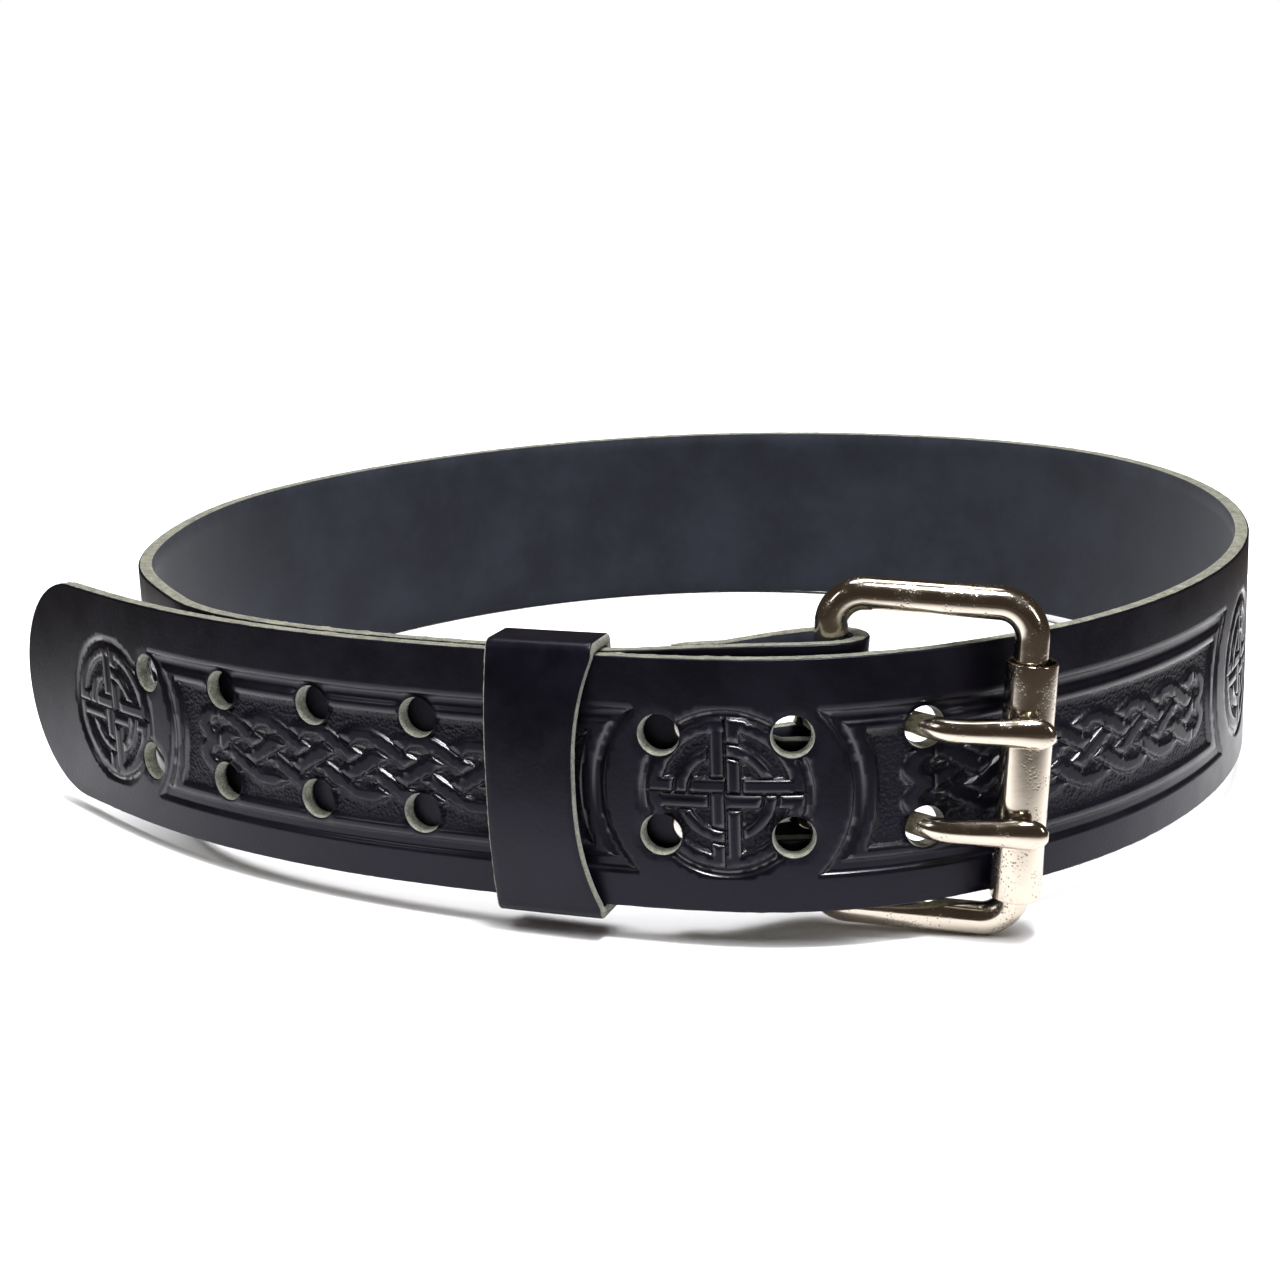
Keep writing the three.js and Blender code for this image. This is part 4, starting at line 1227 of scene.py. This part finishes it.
def roller_profile():
    """The tube's wall, with a rounded rim at each end."""
    soft = ROLLER_END_ROUNDING
    arc = [math.radians(a) for a in range(0, 91, 18)]
    top = [(roller_radius - soft + soft * math.cos(a), roller_half - soft + soft * math.sin(a)) for a in arc]
    top += [(roller_bore + soft - soft * math.sin(a), roller_half - soft + soft * math.cos(a)) for a in arc]
    bottom = [(r, -h) for r, h in top[::-1]]
    middle = [(roller_radius, h) for h in np.linspace(-roller_half + soft, roller_half - soft, 12)[1:-1]]
    return bottom + middle + top


profile = roller_profile()
points, faces = turned(profile, ROLLER_SIDES)
last = (len(profile) - 1) * ROLLER_SIDES
faces += [(last + j, last + (j + 1) % ROLLER_SIDES, (j + 1) % ROLLER_SIDES, j) for j in range(ROLLER_SIDES)]
points = np.array(points) + np.array(roller_local)
roller = new_mesh("roller_plated", in_buckle(points), faces, [buckle_nickel])
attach(roller, "roller")
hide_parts("roller")


# The prongs
# Two bent prongs of plated wire with eyes round the heel bar. They pass the last pair of holes and lie on the
# roller, where they are hammered wider and end in a blunt point.
PRONG_DIAMETER = 5.5 * MM
PRONG_EYE_WALL = 3.6 * MM
PRONG_EYE_HEIGHT = 5.2 * MM
PRONG_PAST_ROLLER = 6.6 * MM
PRONG_RISE = 1.4 * MM
PRONG_CROSSING_ANGLE = math.radians(57)
PRONG_CROSSING_REACH = 5.5 * MM
PRONG_SIDES = 28
PRONG_STATIONS = 110

# Sections from the eye to the point. Height and depth are shares of the prong's diameter
PRONG_ROWS = [
    dict(along=0.00, height=0.95, depth=0.80),
    dict(along=0.12, height=0.95, depth=0.84),
    dict(along=0.24, height=0.95, depth=0.86),
    dict(along=0.36, height=0.97, depth=0.86),
    dict(along=0.48, height=1.00, depth=0.92),
    dict(along=0.62, height=1.03, depth=1.00),
    dict(along=0.76, height=1.12, depth=1.00),
    dict(along=0.87, height=1.25, depth=0.92),
    dict(along=0.93, height=1.22, depth=0.80),
    dict(along=0.965, height=1.02, depth=0.66),
    dict(along=0.985, height=0.76, depth=0.50),
    dict(along=1.00, height=0.36, depth=0.26),
]


PRONG_EYE_SQUARENESS = 0.6
PRONG_EYE_SIDES = 48


def prong_bends():
    """The prong's few bends, in the buckle's frame and at height zero."""
    station = np.array([FIRST_HOLE + HOLE_PITCH * (HOLE_PAIRS - 1)])
    centre, outward = tongue.at(station)
    back = buckle_place.inverted()
    hole = back @ Vector((centre[0][0], centre[0][1], STRAP_WIDTH / 2))
    ahead = back.to_3x3() @ Vector((-outward[0][1], outward[0][0], 0))
    hole.z = 0
    ahead.z = 0
    crossing = Matrix.Rotation(-PRONG_CROSSING_ANGLE, 3, "Z") @ ahead.normalized()
    eye_middle = half_wire + CLEARANCE + PRONG_EYE_WALL / 2
    rest = -(roller_radius + CLEARANCE + PRONG_DIAMETER / 2)
    return [Vector((eye_middle, 0, 0)), hole - crossing * PRONG_CROSSING_REACH, hole,
            hole + crossing * PRONG_CROSSING_REACH, Vector((bar_spacing, rest, PRONG_RISE)),
            Vector((bar_spacing + PRONG_PAST_ROLLER, rest, PRONG_RISE))]


def through_bends(bends, per_span=40):
    """A smooth line through the bends: a centripetal Catmull-Rom curve."""
    ends = [bends[0] * 2 - bends[1], *bends, bends[-1] * 2 - bends[-2]]
    line = []
    for a, b, c, d in zip(ends, ends[1:], ends[2:], ends[3:]):
        ta, tb, tc = (math.sqrt((q - p).length) for p, q in ((a, b), (b, c), (c, d)))
        slope_b = ((b - a) / ta - (c - a) / (ta + tb) + (c - b) / tb) * tb
        slope_c = ((c - b) / tb - (d - b) / (tb + tc) + (d - c) / tc) * tb
        for t in np.arange(per_span) / per_span:
            line.append(b * (2 * t**3 - 3 * t**2 + 1) + slope_b * (t**3 - 2 * t**2 + t)
                        + c * (3 * t**2 - 2 * t**3) + slope_c * (t**3 - t**2))
    return np.array(line + [bends[-1]])


def prong_mesh(height):
    """The prong's shank and its eye."""
    line = Run(through_bends(prong_bends()))
    share = np.linspace(0, 1, PRONG_STATIONS)
    centre = line.read(line.points, share * line.length)
    heading = line.read(line.heading, share * line.length)
    side = np.stack([-heading[:, 1], heading[:, 0], np.zeros(len(share))], 1)
    along = [row["along"] for row in PRONG_ROWS]
    column = lambda name: np.interp(share, along, [row[name] for row in PRONG_ROWS])
    tall, deep = column("height"), column("depth")
    soften = np.array([1, 2, 1]) / 4
    for values in (tall, deep):
        values[1:-1] = np.convolve(values, soften, "valid")
    up = np.array([0, 0, 1.0])
    spine = [(centre[i], (side[i], up)) for i in range(len(share))]
    half_deep, half_tall = deep * PRONG_DIAMETER / 2, tall * PRONG_DIAMETER / 2
    points, faces = swept(spine, half_deep, half_tall, PRONG_SIDES, closed=False)
    bore = half_wire + CLEARANCE
    outer, half = bore + PRONG_EYE_WALL, PRONG_EYE_HEIGHT / 2
    angles = np.radians(np.arange(0, 360, 20))
    softened = lambda value: np.sign(value) * abs(value) ** PRONG_EYE_SQUARENESS
    eye = [((bore + outer) / 2 + (outer - bore) / 2 * softened(math.cos(a)), half * softened(math.sin(a)))
           for a in angles]
    eye_points, eye_faces = turned(eye + eye[:1], PRONG_EYE_SIDES)
    first = len(points)
    lift = np.array([0, 0, height])
    points = [np.asarray(point) + lift for point in [*points, *eye_points]]
    faces += [tuple(first + i for i in face) for face in eye_faces]
    return in_buckle(points), faces


for level, height in zip(("lower", "upper"), prong_heights):
    points, faces = prong_mesh(height)
    prong = new_mesh("prong_" + level + "_plated", points, faces, [buckle_nickel])
    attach(prong, "belt")
    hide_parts("prong_" + level)


# The studio
# The camera stands where the photograph was taken from: in front of the buckle, a little above the strap,
# looking down. A plain white floor runs to the horizon, with soft boxes above and a dim room behind.
CAMERA_PLACE = Vector((-16.5 * MM, -614 * MM, 172.94 * MM))
CAMERA_PITCH = 0.2404646
CAMERA_ROLL = -0.0355666
FOCAL_PIXELS = 2200
PHOTO_PIXELS = 1280
SENSOR = 36


def camera_turn():
    """The camera's pitch and roll, as axes of the upright belt."""
    forward = Vector((0, math.cos(CAMERA_PITCH), -math.sin(CAMERA_PITCH)))
    level_up = Vector((0, math.sin(CAMERA_PITCH), math.cos(CAMERA_PITCH)))
    side = Vector((1, 0, 0))
    right = side * math.cos(CAMERA_ROLL) + level_up * math.sin(CAMERA_ROLL)
    up = level_up * math.cos(CAMERA_ROLL) - side * math.sin(CAMERA_ROLL)
    return Matrix((right, up, -forward)).transposed().to_4x4()


camera_data = bpy.data.cameras.new("camera")
camera_data.sensor_width = SENSOR
camera_data.lens = FOCAL_PIXELS / PHOTO_PIXELS * SENSOR
camera = bpy.data.objects.new("camera", camera_data)
camera.matrix_world = rest_place @ Matrix.Translation(CAMERA_PLACE) @ camera_turn()
bpy.context.scene.collection.objects.link(camera)
bpy.context.scene.camera = camera

FLOOR_RADIUS = 12.0
FLOOR_WHITE = (0.86, 0.86, 0.88, 1)
# Painted dark reflection: the colour the floor takes for glossy rays only, beyond the sheet, standing in for
# a dim room
FLOOR_DARK_FOR_REFLECTIONS = (0.035, 0.028, 0.022, 1)
SHEET_REACH = 0.16
SHEET_END = 0.34


def make_floor():
    """The floor is white all over to the camera, but beyond the sheet's edge glossy rays see it painted dark:
    a painted dark reflection standing in for a dim room.
    """
    angles = np.linspace(0, 2 * math.pi, 64, endpoint=False)
    points = [(FLOOR_RADIUS * math.cos(a), FLOOR_RADIUS * math.sin(a), 0) for a in angles]
    material, nodes, shader = new_material("floor_white", {"Roughness": 0.9, "Specular IOR Level": 0.0})
    place = nodes.add("ShaderNodeTexCoord").outputs["Object"]
    distance = nodes.add("ShaderNodeVectorMath", {0: place}, operation="LENGTH").outputs["Value"]
    mirrored = nodes.add("ShaderNodeLightPath").outputs["Is Glossy Ray"]
    # Painted dark reflection: only glossy rays see the floor turn dark, from SHEET_REACH out to SHEET_END
    beyond = nodes.math("MULTIPLY", nodes.ramp(distance, SHEET_REACH, SHEET_END), mirrored)
    nodes.tree.links.new(nodes.blend(beyond, FLOOR_WHITE, FLOOR_DARK_FOR_REFLECTIONS), shader.inputs["Base Color"])
    floor = new_mesh("studio_floor", points, [tuple(range(64))], [material])
    floor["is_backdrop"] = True


def soft_box(name, place, aim, size, power):
    """A rectangular light that faces a point."""
    data = bpy.data.lights.new(name, "AREA")
    data.shape = "RECTANGLE"
    data.size, data.size_y = size
    data.energy = power
    light = bpy.data.objects.new(name, data)
    light.location = place
    light.rotation_euler = (Vector(aim) - Vector(place)).to_track_quat("-Z", "Y").to_euler()
    bpy.context.scene.collection.objects.link(light)


def make_world():
    """White behind the belt as the camera sees it, and a dim room for light and reflections."""
    world = bpy.data.worlds.new("studio_room")
    world.use_nodes = True
    nodes = Nodes(world.node_tree)
    nodes.tree.nodes.clear()
    seen = nodes.add("ShaderNodeLightPath").outputs["Is Camera Ray"]
    colour = nodes.blend(seen, (0.060, 0.046, 0.036, 1), (1.0, 1.0, 1.0, 1))
    background = nodes.add("ShaderNodeBackground", {"Color": colour, "Strength": 1.0})
    output = nodes.add("ShaderNodeOutputWorld")
    nodes.tree.links.new(background.outputs[0], output.inputs[0])
    bpy.context.scene.world = world


SHADE_STRENGTH = 4.4
SHADE_ANGLE = 70


def floor_light():
    """Even light from above for the floor, too wide and soft to show in the metal."""
    data = bpy.data.lights.new("open_shade", "SUN")
    data.energy = SHADE_STRENGTH
    data.angle = math.radians(SHADE_ANGLE)
    light = bpy.data.objects.new("open_shade", data)
    light.visible_glossy = False
    bpy.context.scene.collection.objects.link(light)


# The soft boxes: places, the points that they face and their sizes in metres, and their power in watts
SOFT_BOXES = [
    dict(name="overhead_box", place=(-0.1, 0.3, 1.3), aim=(0, 0, 0), size=(0.7, 0.3), power=7),
    dict(name="key_box", place=(0.12, -0.38, 1.1), aim=(0.02, -0.15, 0.03), size=(0.26, 0.16), power=14),
    dict(name="left_box", place=(-1.1, -0.5, 0.8), aim=(0, 0, 0.03), size=(0.15, 0.5), power=1),
    dict(name="right_box", place=(1.0, -0.7, 0.6), aim=(0.05, -0.05, 0.03), size=(0.15, 0.5), power=2),
]

make_floor()
floor_light()
for box in SOFT_BOXES:
    soft_box(**box)
make_world()
bpy.context.scene.view_settings.view_transform = "Standard"

visual_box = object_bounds()
({"cad": [list(corner) for corner in cad_box],
           "visual": [list(corner) for corner in visual_box]})
